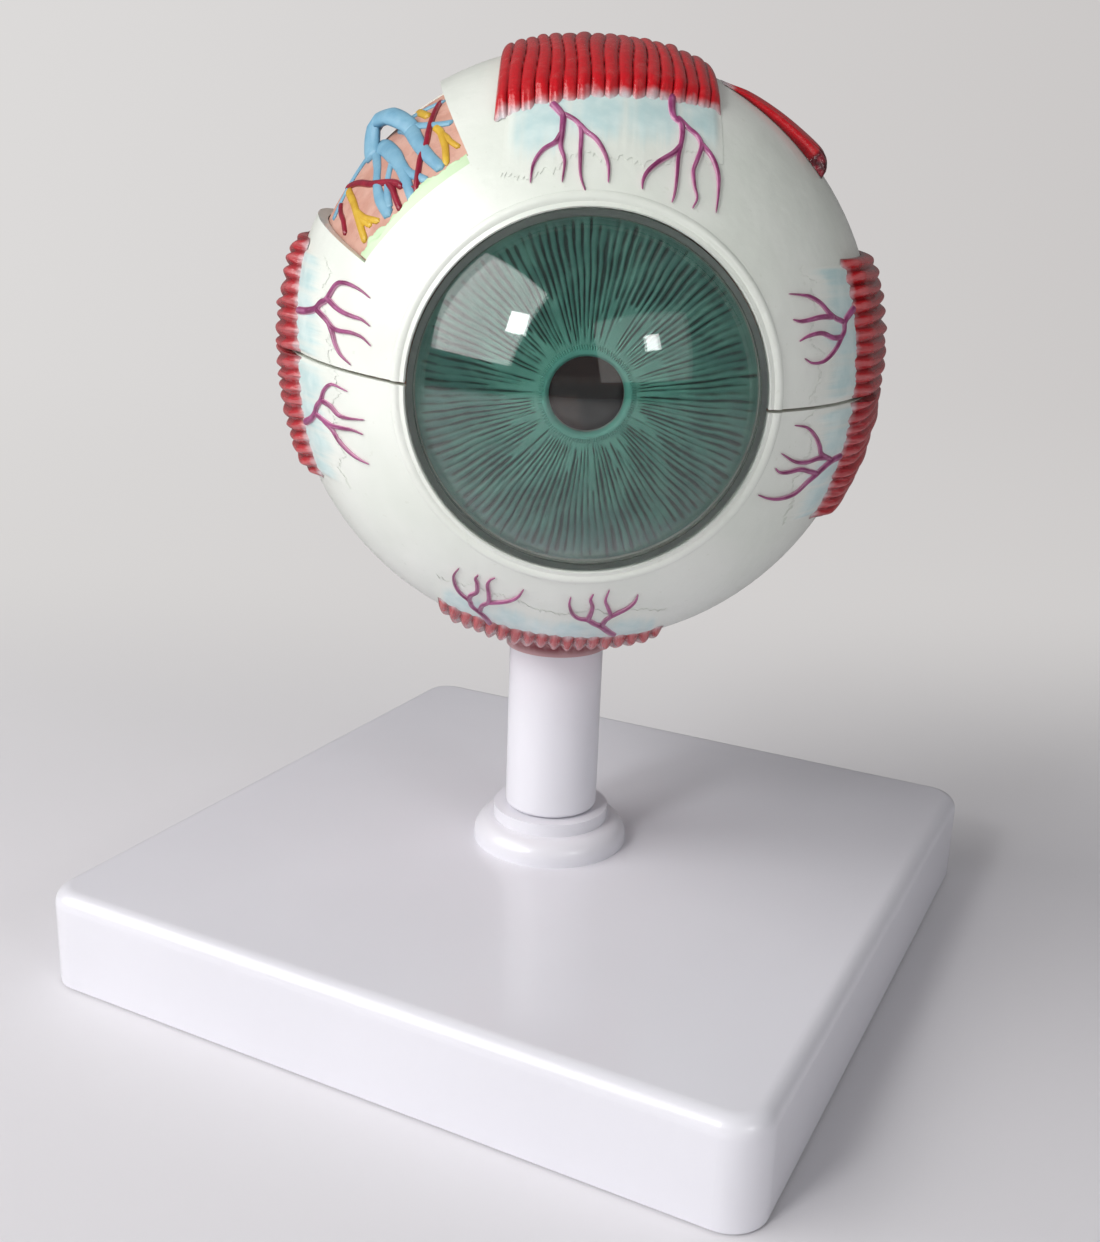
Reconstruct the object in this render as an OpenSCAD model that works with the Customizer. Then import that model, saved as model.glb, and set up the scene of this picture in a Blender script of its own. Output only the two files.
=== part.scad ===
// Enlarged model of a right human eye on a pole and a square base.
// It comes apart along a level seam: the upper half lifts off, the vitreous body lifts out,
// and lens, iris and cornea pull out forward through the round opening.
// Frame: millimetres, +Z up, origin at the middle of the base where it meets the table,
// base sides along X and Y. The globe has a frame of its own, see eye_pose().

/* [Base] */
// Width of the square base
base_w = 190; // [170:1:230]
// Height of the base above the table
base_h = 26; // [20:1:40]
// Radius of the upright corners of the base
base_corner_r = 9; // [6:0.5:16]
// Rounding along the top edge of the base
base_edge_r = 4; // [1.5:0.5:5]
// Wall and top thickness of the base moulding
base_wall = 3; // [2:0.2:5]
// Thickness of the cross ribs under the top
rib_t = 2.4; // [1.6:0.2:4]
// Radius of the rubber feet
foot_r = 7; // [5:0.5:9]
// Thickness of the rubber feet
foot_t = 2; // [1.6:0.1:4]
// How far the feet stand below the rim of the base
foot_proud = 0.6; // [0.3:0.1:1.2]

/* [Pole] */
// Outer radius of the pole
pole_r = 12.5; // [11:0.1:15]
// Wall of the tubular pole
pole_wall = 3; // [2:0.1:4]
// Height of the top end of the pole above the table
pole_top = 82.4; // [76:0.2:84]
// Rounding of the bottom edge of the pole
pole_edge_r = 1.2; // [0.4:0.1:2]
// Radius of the collar flange on the base
flange_r = 21; // [19:0.2:26]
// Height of the collar flange
flange_h = 6.5; // [5:0.1:9]
// Radius of the ring on top of the flange
ring_r = 15.7; // [15:0.1:18]
// Height of the ring on top of the flange
ring_h = 3.5; // [2:0.1:6]
// Height of the spigot that the pole turns on
spigot_h = 20; // [10:1:30]
// Radial running clearance of the pole on its spigot
turn_gap = 0.08; // [0.03:0.01:0.1]
// Radius of the tenon that holds the globe on the pole
tenon_r = 8; // [6:0.1:9]
// Height of the tenon
tenon_h = 4.8; // [3:0.1:5]
// Radius of the clamping screw
screw_r = 2.5; // [2:0.1:3]

/* [Globe] */
// Outer radius of the globe
globe_r = 72; // [66:0.5:78]
// Wall of the white outer shell
sclera_t = 2.6; // [2:0.1:3.4]
// Wall of the lining with choroid and retina
choroid_t = 3; // [2:0.1:4]
// Height of the lowest point of the globe above the table
seat_z = 86.6; // [85.4:0.1:88]
// Turn of the gaze from the front of the base
eye_turn = 28; // [0:1:45]
// Downward nod of the gaze
eye_nod = 3; // [0:0.5:6]
// Sideways lean of the globe on its pole
eye_lean = 2.4; // [0:0.2:5]
// Gap of the level seam between the two halves
seam_gap = 0.7; // [0.4:0.1:1.2]
// How far the lower lining stands above the seam and guides the upper half
lip_h = 3; // [1:0.5:5]
// Clearance between pieces that lie against each other
fit_gap = 0.3; // [0.2:0.05:0.4]
// Radius of the round opening in front
opening_r = 38.3; // [35:0.1:41]
// Bevel round the opening
opening_bevel = 0.5; // [0.3:0.1:1]
// Radius of the rounded lip round the opening
lip_bead_r = 1.6; // [1:0.1:2]
// How far the rounded lip stands out of the globe
lip_bead_h = 0.6; // [0.2:0.1:0.9]

/* [Choroid window] */
// Front edge of the window, degrees from the gaze
window_front = 48.5; // [45:0.5:52]
// Back edge of the window, degrees from the gaze
window_back = 102; // [90:1:106]
// Nasal edge of the window, degrees from the top
window_nasal = -31.5; // [-34:0.5:-29]
// Temporal edge of the window, degrees from the top
window_temporal = -65; // [-68:0.5:-62]
// Width of the pale membrane along the front edge, in degrees
membrane_w = 2.5; // [2:0.1:5]
// Teeth of the torn edge of the membrane
membrane_teeth = 9; // [5:1:14]
// Height of the vortex vein where it leaves the window
vein_h = 6; // [4:0.2:7]

/* [Muscles] */
// Thickness of the upper and lower straight muscles under the ridges
rectus_t = 1.6; // [1.2:0.1:3]
// Thickness of the side muscles under the ridges
side_t = 2.4; // [1.6:0.1:4]
// Thickness of the oblique muscles under the ridges
oblique_t = 3.8; // [2:0.1:4.5]
// Height of the fibre ridges on the muscles
fibre_h = 0.9; // [0.4:0.1:1.6]
// Back end of the muscle stumps, degrees from the gaze
rectus_back = 112; // [100:1:124]
// Fibre ridges of the upper and lower straight muscles
rectus_fibres = 17; // [12:1:20]
// Fibre ridges of one half of a side muscle
side_fibres = 8; // [6:1:10]
// Fibre ridges of the oblique muscles
oblique_fibres = 5; // [4:1:7]
// Thickness of the tendon sheets
tendon_t = 0.25; // [0.15:0.05:0.5]
// Length of the tendon sheets, in degrees
tendon_len = 15; // [8:0.5:18]
// Height of the vessels on the white shell
vessel_h = 0.8; // [0.5:0.1:1.4]

/* [Optics] */
// Outer radius of curvature of the cornea
cornea_curve_r = 46; // [42:0.5:52]
// Wall of the cornea
cornea_t = 2.4; // [1.6:0.1:3.2]
// Width of the flat flange of the cornea
cornea_flange_w = 1.2; // [0.8:0.1:2.5]
// Height of the flange of the cornea
cornea_flange_h = 4; // [3:0.1:5]
// Width of the two notches in the flange, which meet the seam
cornea_notch_w = 1.8; // [1:0.1:3]
// Radius of the pupil
pupil_r = 8; // [5:0.1:12]
// Width of the smooth ring round the pupil
pupil_ring_w = 2.6; // [1.5:0.1:4]
// Thickness of the iris plate
iris_t = 1.5; // [1:0.1:2.5]
// Height of the radial folds of the iris
iris_fold_h = 1.2; // [0.6:0.1:1.8]
// Radial folds of the iris
iris_folds = 82; // [60:1:100]
// Depth of the ciliary ring
ciliary_h = 4.4; // [3:0.1:5]
// Ciliary processes round the ring
ciliary_folds = 60; // [40:1:72]
// Radius of the lens
lens_r = 27; // [22:0.5:27.5]
// Thickness of the straight rim band of the lens
lens_band = 3; // [1:0.1:4]
// Front radius of curvature of the lens
lens_front_r = 60; // [50:1:80]
// Back radius of curvature of the lens
lens_back_r = 36; // [32:0.5:50]
// Distance of the flat front of the vitreous body from the middle of the globe
vitreous_front = 49.5; // [48:0.1:50]
// Wall of the hollow vitreous body
vitreous_wall = 2.5; // [1.6:0.1:4]
// Clearance of the vitreous body in the lining
vitreous_gap = 0.8; // [0.7:0.05:1]

/* [Nerve] */
// Radius of the optic nerve sheath
nerve_r = 11; // [9:0.5:12]
// Length of the nerve stump
nerve_len = 20; // [14:1:22]
// Wall of the nerve sheath
nerve_wall = 3; // [2:0.2:4]
// Nasal offset of the nerve from the back pole, in degrees
nerve_offset = 15; // [10:1:20]
// Radius of the central vessels in the nerve
central_r = 1.5; // [1:0.1:2]

/* [Hidden] */

$fn = 96;
far = 400;                                   // longer than the whole model
SIDES = [-1, 1];

// Base
foot_inset = base_corner_r + 2;              // centre of a foot from the outside of the base
foot_at = base_w / 2 - foot_inset;
post_r = foot_r + 2;
rib_lift = 3;                                // free height under the ribs
boss_r = 16;
boss_z = 8;                                  // underside of the central boss
stem_r = 9;                                  // collar stem in the boss
boss_floor = 3;
washer_r = 6;
washer_t = 1.2;
screw_head_r = 4.6;
screw_head_h = 3;
screw_grip = 6;                              // thread length in the collar stem

// Pole
pole_bottom = base_h + flange_h + ring_h + fit_gap;
spigot_r = pole_r - pole_wall - turn_gap;
pole_cap = 6;                                // solid length at the top of the pole
globe_boss_r = pole_r + 0.9;

// Globe
choroid_out = globe_r - sclera_t - fit_gap;
retina_r = choroid_out - choroid_t;
vitreous_r = retina_r - vitreous_gap;
opening_front = sqrt(pow(globe_r, 2) - pow(opening_r, 2));
plug_r = opening_r - fit_gap;                // pieces that slide through the opening
skin_r = globe_r + fit_gap;                  // underside of the muscles on the white shell
tendon_r = globe_r + fit_gap / 2;            // underside of the tendon sheets
vessel_r = tendon_r + tendon_t + 0.05;       // underside of the vessels, which cross the tendons
seam_half = seam_gap / 2;

// Optical stack, distances forward of the middle of the globe
ciliary_back = vitreous_front + fit_gap;
iris_back = ciliary_back + ciliary_h + fit_gap;
iris_front = iris_back + iris_t;
cornea_back = iris_front + fit_gap;
cornea_front = cornea_back + cornea_flange_h;
dome_r = plug_r - cornea_flange_w;
dome_mid = cornea_front - sqrt(pow(cornea_curve_r, 2) - pow(dome_r, 2));
cornea_in_r = dome_r - 1.2;
iris_fold_out = cornea_in_r - fit_gap;
iris_fold_in = pupil_r + pupil_ring_w + fit_gap;
lens_top = iris_back - fit_gap - 0.6;
lens_front_h = lens_front_r - sqrt(pow(lens_front_r, 2) - pow(lens_r, 2));
lens_back_h = lens_back_r - sqrt(pow(lens_back_r, 2) - pow(lens_r, 2));
lens_band_top = lens_top - lens_front_h;
lens_band_low = lens_band_top - lens_band;

WHITE = "#eef0f4";
SCLERA = "#e4ece4";
MUSCLE = "#b3263a";
MUSCLE_SIDE = "#b04a50";
TENDON = "#cfe2e2";
VESSEL = "#9a4a78";

// ---------- helpers ----------

// Moves a piece from the frame of the globe (origin in its middle, gaze along -Y, top +Z)
// to its place on the pole; the globe leans about its lowest point and nods about its middle
module eye_pose() {
    translate([0, 0, seat_z]) rotate([0, eye_lean, eye_turn])
        translate([0, 0, globe_r]) rotate([eye_nod, 0, 0]) children();
}

// Stands a revolved piece on the line of gaze: its +Z becomes forward
module on_gaze() { rotate([90, 0, 0]) children(); }

// Puts the top of the globe frame at th degrees from the gaze and ph degrees from the top
module place_at(th, ph, spin = 0) {
    rotate([0, ph, 0]) rotate([90 - th, 0, 0]) rotate([0, 0, spin]) children();
}

module upper_half(z = 0) { translate([-far / 2, -far / 2, z]) cube(far); }
module lower_half(z = 0) { translate([-far / 2, -far / 2, z - far]) cube(far); }

// Unit direction at th degrees from the gaze and ph degrees from the top, nasal positive
function globe_dir(p) = [sin(p[0]) * sin(p[1]), -cos(p[0]), sin(p[0]) * cos(p[1])];
function unit(v) = v / norm(v);
// Direction in a strip along the top of the globe: th along it, a across it
function strip_dir(th, a) = [sin(a), -cos(a) * cos(th), cos(a) * sin(th)];
function mix(a, b, t) = a + (b - a) * t;

// Closed sheet between an outer and an inner grid of points with the same rows and columns.
// wrap joins the last column to the first one.
module sheet(outer, inner, wrap = false) {
    cols = len(outer);
    rows = len(outer[0]);
    n = cols * rows;
    last = wrap ? cols - 1 : cols - 2;
    function at(i, j) = (i % cols) * rows + j;
    points = concat([for (c = outer) for (p = c) p], [for (c = inner) for (p = c) p]);
    skin = [for (i = [0 : last]) for (j = [0 : rows - 2])
        each [[at(i, j), at(i + 1, j + 1), at(i + 1, j)], [at(i, j), at(i, j + 1), at(i + 1, j + 1)]]];
    back = [for (f = skin) [f[0] + n, f[2] + n, f[1] + n]];
    ends = [for (i = [0 : last]) for (j = [0, rows - 1])
        let (a = at(i, j), b = at(i + 1, j))
        each (j == 0 ? [[a, b, b + n], [a, b + n, a + n]] : [[a, b + n, b], [a, a + n, b + n]])];
    sides = wrap ? [] : [for (j = [0 : rows - 2]) for (i = [0, cols - 1])
        let (a = at(i, j), b = at(i, j + 1))
        each (i == 0 ? [[a, b + n, b], [a, a + n, b + n]] : [[a, b, b + n], [a, b + n, a + n]])];
    polyhedron(points, concat(skin, back, ends, sides), 10);
}

// Rows of a muscle len degrees long, as shares of its length: two close rows round the front
// edge, then even steps short enough to follow the globe
function muscle_rows(len) = let (n = ceil((len - 7) / 9))
    concat([0, 2 / len], [for (k = [0 : n]) mix(7 / len, 1, k / n)]);

// Muscle belly over the top of the globe. front and back give the degrees along the strip at
// the left and right edge, left and right the degrees across it at the front and back end.
// The front end has the share tip of the thickness t.
module muscle(front, back, left, right, fibres, t, tip = 1) {
    steps = muscle_rows(max(back) - min(front));
    cols = 2 * fibres;
    function across(u, v) = mix(mix(left[0], left[1], v), mix(right[0], right[1], v), u);
    function along(u, v) = mix(mix(front[0], front[1], u), mix(back[0], back[1], u), v);
    function round_end(v) = v == 0 ? 0.35 : v == steps[1] ? 0.85 : 1.05 - 0.25 * pow(v, 4);
    function swell(v) = round_end(v) * mix(tip, 1, v);
    function height(i, v) = let (e = abs(2 * i / cols - 1))
        swell(v) * t * sqrt(1.06 - pow(e, 10)) + (i % 2 == 0 ? 0 : fibre_h * min(1, swell(v)));
    function point(i, v, r) = r * strip_dir(along(i / cols, v), across(i / cols, v));
    outer = [for (i = [0 : cols]) [for (v = steps) point(i, v, skin_r + height(i, v))]];
    inner = [for (i = [0 : cols]) [for (v = steps) point(i, v, skin_r)]];
    sheet(outer, inner);
}

// Thin tendon sheet that runs forward from the front edge of a muscle to a fringed end
module tendon(front, left, right, fringes) {
    cols = 2 * fringes;
    rows = 4;
    function tip(i) = tendon_len * (i % 2 == 0 ? 0.82 : 1) * (0.86 + 0.14 * cos(150 * i));
    function point(i, k, r) = let (u = i / cols, edge = mix(front[0], front[1], u) - 0.4)
        r * strip_dir(edge - tip(i) * (1 - k / rows), mix(left, right, u));
    outer = [for (i = [0 : cols]) [for (k = [0 : rows]) point(i, k, tendon_r + tendon_t)]];
    inner = [for (i = [0 : cols]) [for (k = [0 : rows]) point(i, k, tendon_r)]];
    sheet(outer, inner);
}

// Raised vessel on a sphere of radius r, bent over three points of the globe; its width and
// height run from the first to the last value. A negative height hangs it inside.
module vessel(pts, r, w, h, steps = 4) {
    d = [for (p = pts) globe_dir(p)];
    function mid(u) = unit(pow(1 - u, 2) * d[0] + 2 * u * (1 - u) * d[1] + pow(u, 2) * d[2]);
    function side(u) = unit(cross(mid(u), mid(min(1, u + 0.02)) - mid(max(0, u - 0.02))));
    function ring(u) = let (ww = mix(w[0], w[1], u) / 2, hh = mix(h[0], h[1], u), s = side(u))
        [for (q = [[-1, 0], [-0.6, 0.8], [0, 1], [0.6, 0.8], [1, 0]])
            (r + q[1] * hh) * mid(u) + q[0] * ww * s];
    for (k = [0 : steps - 1])
        hull() polyhedron(concat(ring(k / steps), ring((k + 1) / steps)), [[for (i = [0 : 9]) i]]);
}

// A trunk and four branches on the white shell: lists of three points each
module vessel_tree(branches) {
    for (k = [0 : len(branches) - 1])
        vessel(branches[k], vessel_r, k == 0 ? [2.6, 2] : [1.7, 0.7],
            k == 0 ? [1.3, 1.1] * vessel_h : [1, 0.5] * vessel_h);
}

module rounded_square(w, r) {
    for (s = [0, 1]) square([w - 2 * r * s, w - 2 * r * (1 - s)], center = true);
    for (x = SIDES, y = SIDES) translate([x * (w / 2 - r), y * (w / 2 - r)]) circle(r);
}

// ---------- base ----------

// Half section through the rounded top edge, from the centre of a corner outwards
module edge_profile() {
    flat = base_corner_r - base_edge_r;
    square([flat, base_edge_r]);
    intersection() {
        translate([flat, 0]) circle(base_edge_r);
        square([base_corner_r, base_edge_r]);
    }
}

// Block with round corners and a rounded top edge
module base_block() {
    straight = base_w - 2 * base_corner_r;
    edge_z = base_h - base_edge_r;
    translate([0, 0, foot_proud])
        linear_extrude(edge_z - foot_proud) rounded_square(base_w, base_corner_r);
    translate([-straight / 2, -straight / 2, edge_z]) cube([straight, straight, base_edge_r]);
    for (a = [0 : 90 : 270]) rotate([0, 0, a]) translate([straight / 2, straight / 2, edge_z]) {
        rotate([90, 0, 0]) linear_extrude(straight) edge_profile();
        rotate_extrude(angle = 90) edge_profile();
    }
}

module foot_places() {
    for (x = SIDES, y = SIDES) translate([x * foot_at, y * foot_at, 0]) children();
}

module base_shell() {
    inside_h = base_h - base_wall - foot_proud;
    color(WHITE) difference() {
        union() {
            difference() {
                base_block();
                translate([0, 0, foot_proud - 1]) linear_extrude(inside_h + 1)
                    rounded_square(base_w - 2 * base_wall, base_corner_r - base_wall);
            }
            intersection() {
                translate([0, 0, foot_proud]) linear_extrude(inside_h + base_wall / 2)
                    rounded_square(base_w - base_wall, base_corner_r - base_wall / 2);
                union() {
                    for (a = [0, 90]) rotate([0, 0, a])
                        translate([-far / 2, -rib_t / 2, foot_proud + rib_lift]) cube([far, rib_t, far]);
                    foot_places() cylinder(r = post_r, h = far);
                    translate([0, 0, boss_z]) cylinder(r = boss_r, h = far);
                }
            }
        }
        translate([0, 0, boss_z + boss_floor]) cylinder(r = stem_r + turn_gap, h = far);
        cylinder(r = screw_r + 0.5, h = far);
        translate([0, 0, -1]) cylinder(r = washer_r + 2, h = boss_z + 1);
        foot_places() translate([0, 0, -1]) cylinder(r = foot_r + fit_gap, h = foot_t + 1);
    }
}

module foot_pads() {
    color("#4a4a4c") foot_places() cylinder(r = foot_r, h = foot_t);
}

// ---------- collar and pole ----------

// Turned collar: flange with a rounded shoulder, ring and spigot, and a stem in the base
module collar() {
    shoulder = min(flange_h - 1.5, flange_r - ring_r - 0.3);
    color(WHITE) difference() {
        union() {
            rotate_extrude() {
                translate([0, base_h]) square([flange_r, flange_h - shoulder]);
                translate([0, base_h]) square([flange_r - shoulder, flange_h]);
                intersection() {
                    translate([flange_r - shoulder, base_h + flange_h - shoulder]) circle(shoulder);
                    translate([0, base_h]) square([flange_r, flange_h]);
                }
                translate([0, base_h]) square([ring_r, flange_h + ring_h]);
                translate([0, base_h]) square([spigot_r, flange_h + ring_h + spigot_h]);
            }
            translate([0, 0, boss_z + boss_floor + fit_gap])
                cylinder(r = stem_r, h = base_h - boss_z - boss_floor);
        }
        cylinder(r = screw_r + turn_gap, h = boss_z + boss_floor + screw_grip + 2);
    }
}

module collar_washer() {
    color("silver") translate([0, 0, boss_z - washer_t]) difference() {
        cylinder(r = washer_r, h = washer_t);
        translate([0, 0, -1]) cylinder(r = screw_r + 0.3, h = washer_t + 2);
    }
}

module collar_screw() {
    head_z = boss_z - washer_t - screw_head_h;
    color("silver") difference() {
        union() {
            translate([0, 0, head_z]) cylinder(r = screw_head_r, h = screw_head_h);
            translate([0, 0, head_z]) cylinder(r = screw_r, h = boss_z + boss_floor + screw_grip - head_z);
        }
        for (a = [0, 90]) rotate([0, 0, a]) translate([-2.6, -0.5, head_z - 1]) cube([5.2, 1, 2.5]);
    }
}

// Tube that turns on the spigot, closed at the top, with a tenon for the globe
module pole() {
    color(WHITE) difference() {
        union() {
            translate([0, 0, pole_bottom]) rotate_extrude() {
                translate([0, pole_edge_r]) square([pole_r, pole_top - pole_bottom - pole_edge_r]);
                square([pole_r - pole_edge_r, pole_edge_r]);
                translate([pole_r - pole_edge_r, pole_edge_r]) circle(pole_edge_r);
            }
            translate([0, 0, pole_top - 1]) cylinder(r = tenon_r, h = tenon_h + 1);
        }
        translate([0, 0, -1]) cylinder(r = pole_r - pole_wall, h = pole_top - pole_cap + 1);
    }
}

// ---------- shells of the globe ----------

module opening_cut() {
    on_gaze() {
        translate([0, 0, globe_r / 2]) cylinder(r = opening_r, h = globe_r);
        translate([0, 0, opening_front - opening_bevel])
            cylinder(r1 = opening_r, r2 = opening_r + 4, h = 4);
    }
}

// Rounded lip that stands round the opening
module opening_lip() {
    across = opening_r + lip_bead_r + 0.1;
    on_gaze() translate([0, 0, sqrt(pow(globe_r + lip_bead_h - lip_bead_r, 2) - pow(across, 2))])
        rotate_extrude() translate([across, 0]) circle(lip_bead_r);
}

// Wedge of the window between two distances from the middle of the globe
module window_wedge(r0, r1) {
    arc = window_nasal - window_temporal;
    rotate([0, window_nasal, 0]) on_gaze() rotate([0, 0, 90]) rotate_extrude(angle = arc)
        polygon([for (q = [[r0, window_front], [r1, window_front], [r1, window_back], [r0, window_back]])
            q[0] * [sin(q[1]), cos(q[1])]]);
}

module shell(r, t) { difference() { sphere(r); sphere(r - t); } }

module lower_sclera() {
    color(SCLERA) difference() {
        union() {
            eye_pose() difference() {
                union() { shell(globe_r, sclera_t); opening_lip(); }
                upper_half(-seam_half);
                opening_cut();
            }
            difference() {
                translate([0, 0, pole_top]) cylinder(r = globe_boss_r, h = globe_r / 3);
                eye_pose() sphere(globe_r - sclera_t / 2);
            }
        }
        translate([0, 0, pole_top - 1]) cylinder(r = tenon_r + turn_gap, h = tenon_h + 1 + fit_gap);
    }
}

module upper_sclera() {
    color(SCLERA) eye_pose() difference() {
        union() { shell(globe_r, sclera_t); opening_lip(); }
        lower_half(seam_half);
        opening_cut();
        window_wedge(globe_r * 0.8, globe_r * 1.3);
    }
}

module lower_choroid() {
    color("#c98a78") eye_pose() difference() {
        shell(choroid_out, choroid_t);
        upper_half(lip_h);
        opening_cut();
    }
}

module upper_choroid() {
    color("#cd9b8c") eye_pose() difference() {
        shell(choroid_out, choroid_t);
        lower_half(lip_h + seam_gap);
        opening_cut();
    }
}

// ---------- vessels, membrane and nerves ----------

// Points are degrees from the gaze and degrees from the top, nasal positive
module upper_ciliary_vessels() {
    color(VESSEL) eye_pose() {
        vessel_tree([[[50, -10], [48, -10], [46, -8]],
            [[47.4, -9.4], [45, -14], [37, -20]], [[47, -9], [42, -9], [36, -11]],
            [[46.5, -8], [44, -4], [36, -5]], [[47.2, -8.4], [43, -2], [36, 1]]]);
        vessel_tree([[[54, 13], [51, 14], [47, 16]],
            [[48.6, 15], [44, 12], [36, 11]], [[47.6, 15.6], [43, 19], [36, 20]],
            [[47.2, 16.4], [45, 21], [37, 25]], [[48.2, 16], [46, 24], [38, 31]]]);
        vessel_tree([[[61, -82], [58, -81], [55, -79]],
            [[56, -79.4], [50, -69], [43, -71]], [[55.4, -79], [48, -79], [41, -78]],
            [[55.7, -80], [46, -83], [40, -82]], [[56.4, -80.4], [50, -84], [43, -87]]]);
        vessel_tree([[[54, 72], [53, 72], [51, 72]],
            [[52.2, 72], [48, 64], [40, 60]], [[51.6, 71.6], [45, 68], [39, 67]],
            [[51.4, 72.4], [45, 74], [40, 72]], [[52, 72.6], [47, 78], [40, 77]]]);
    }
}

module lower_ciliary_vessels() {
    color(VESSEL) eye_pose() {
        vessel_tree([[[62, -104], [59, -102], [55, -100]],
            [[55.6, -100], [50, -94], [45, -95]], [[55.2, -100.4], [48, -99], [42, -102]],
            [[54.8, -101], [49, -104], [43, -106]], [[55.4, -101.2], [50, -107], [44, -113]]]);
        vessel_tree([[[56, 102], [55, 103], [53, 103]],
            [[53.8, 102.6], [46, 95], [39, 95]], [[53.4, 103], [45, 104], [38, 103]],
            [[53.2, 103.6], [45, 108], [38, 108]], [[54, 103.8], [47, 113], [37, 116]]]);
        vessel_tree([[[56, -163], [55, -161], [53, -160]],
            [[54, -160], [49, -152], [43, -149]], [[53.4, -159.6], [46, -157], [42, -154]],
            [[53.2, -160.6], [47, -161], [40, -158]], [[54.2, -161.4], [48, -168], [40, -167]]]);
        vessel_tree([[[56, 169], [53, 170], [50, 172]],
            [[51, 172.4], [44, 178], [40, 179]], [[50.6, 172], [44, 174], [39, 173]],
            [[50.4, 171.2], [45, 170], [38, 168]], [[51.2, 170.8], [46, 165], [41, 161]]]);
    }
}

module vein_body() {
    r = choroid_out + 0.25;
    stem = vein_h;
    vessel([[81, -50], [85, -44], [73, -40]], r, [7, 6], [1, 0.8] * stem, 6);
    for (b = [[[76, -41], [78, -37], [75, -32.5]], [[75, -40.6], [69, -38], [63, -32.5]],
        [[74, -40.5], [62, -40.2], [52, -38.4]], [[78, -47.5], [62, -45.5], [51.8, -42.4]],
        [[62, -45.6], [57, -46.2], [51, -47.7]], [[79, -48.7], [66, -50.3], [53, -54]],
        [[80, -50], [77, -57], [73.5, -63.8]]])
        vessel(b, r, [3.6, 2.2], [0.4, 0.2] * stem, 5);
}

module vortex_vein() { color("#6fafd2") eye_pose() vein_body(); }

module artery_body() {
    for (b = [[[68, -34], [58, -37], [51, -46]], [[70, -57], [60, -54], [51, -48.5]],
        [[57, -52], [54, -52], [51, -53]], [[70, -60], [62, -63], [56, -62]]])
        vessel(b, choroid_out + 0.25, [2.4, 1.4], [1.4, 1]);
}

module choroid_arteries() {
    color("#961a2a") eye_pose() difference() { artery_body(); vein_body(); }
}

module ciliary_nerves() {
    color("#e0b828") eye_pose() difference() {
        for (b = [[[74, -36], [66, -35], [58, -35]], [[59.4, -35], [55, -35], [52.6, -33.5]],
            [[59, -35.4], [55, -37], [52.6, -36.5]], [[72, -58], [62, -59], [53, -62]],
            [[62, -58], [57, -57], [52.6, -57]]])
            vessel(b, choroid_out + 0.25, [3.4, 1.8], [1.1, 0.8]);
        vein_body();
        artery_body();
    }
}

// Membrane along the front edge of the window, torn towards the inside
module choroid_membrane() {
    edge = 0.5;
    cols = 2 * membrane_teeth;
    arc = window_nasal - window_temporal - 2 * edge;
    function point(i, k, r) = let (torn = membrane_w * (i % 2 == 0 ? 0.62 : 1 - 0.12 * cos(110 * i)))
        r * globe_dir([window_front + edge + k * torn, window_temporal + edge + arc * i / cols]);
    low = choroid_out + 0.25;
    color("#bfe0b4") eye_pose() difference() {
        sheet([for (i = [0 : cols]) [for (k = [0, 1]) point(i, k, low + 0.9)]],
            [for (i = [0 : cols]) [for (k = [0, 1]) point(i, k, low)]]);
        vein_body();
        artery_body();
    }
}

module retina_tree(side) {
    r = retina_r - 0.05;
    for (b = [[[156, 60], [140, 20], [110, 5]], [[150, 55], [125, 40], [95, 45]],
        [[154, 50], [135, -20], [105, -40]], [[148, 20], [128, -45], [100, -72]]])
        vessel([for (p = b) [p[0], side > 0 ? p[1] : 180 - p[1]]], r, [2, 0.8], [-0.42, -0.3], 9);
}

module upper_retina_vessels() { color("#8e1f24") eye_pose() retina_tree(1); }
module lower_retina_vessels() { color("#8e1f24") eye_pose() retina_tree(-1); }

// ---------- muscles ----------

// Degrees across a side muscle at the seam
seam_a = asin((seam_half + fit_gap / 2) / globe_r);
SUP_FRONT = [51, 58];
INF_FRONT = [60, 56.5];

module superior_rectus() {
    color(MUSCLE) eye_pose()
        muscle(SUP_FRONT, [1, 1] * rectus_back, [-15, -20], [20, 20], rectus_fibres, rectus_t);
}
module superior_rectus_tendon() { color(TENDON) eye_pose() tendon(SUP_FRONT, -14, 20, 9); }

module inferior_rectus() {
    color(MUSCLE_SIDE) difference() {
        eye_pose() place_at(90, 180)
            muscle(INF_FRONT, [1, 1] * rectus_back, [-18, -20], [26, 24], rectus_fibres, rectus_t);
        cylinder(r = globe_boss_r + fit_gap, h = seat_z + globe_r / 3);
    }
}
module inferior_rectus_tendon() {
    color(TENDON) eye_pose() place_at(90, 180) tendon(INF_FRONT, -17, 25, 10);
}

module upper_lateral_rectus() {
    color(MUSCLE_SIDE) eye_pose() place_at(90, -90)
        muscle([63, 74], [1, 1] * rectus_back, [1, 1] * seam_a, [19, 21], side_fibres, side_t);
}
module upper_lateral_tendon() {
    color(TENDON) eye_pose() place_at(90, -90) tendon([63, 72], seam_a, 17, 5);
}
module lower_lateral_rectus() {
    color(MUSCLE_SIDE) eye_pose() place_at(90, -90)
        muscle([64, 63], [1, 1] * rectus_back, [-24, -24], -[1, 1] * seam_a, side_fibres, side_t);
}
module lower_lateral_tendon() {
    color(TENDON) eye_pose() place_at(90, -90) tendon([64, 63], -22, -seam_a, 5);
}

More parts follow.
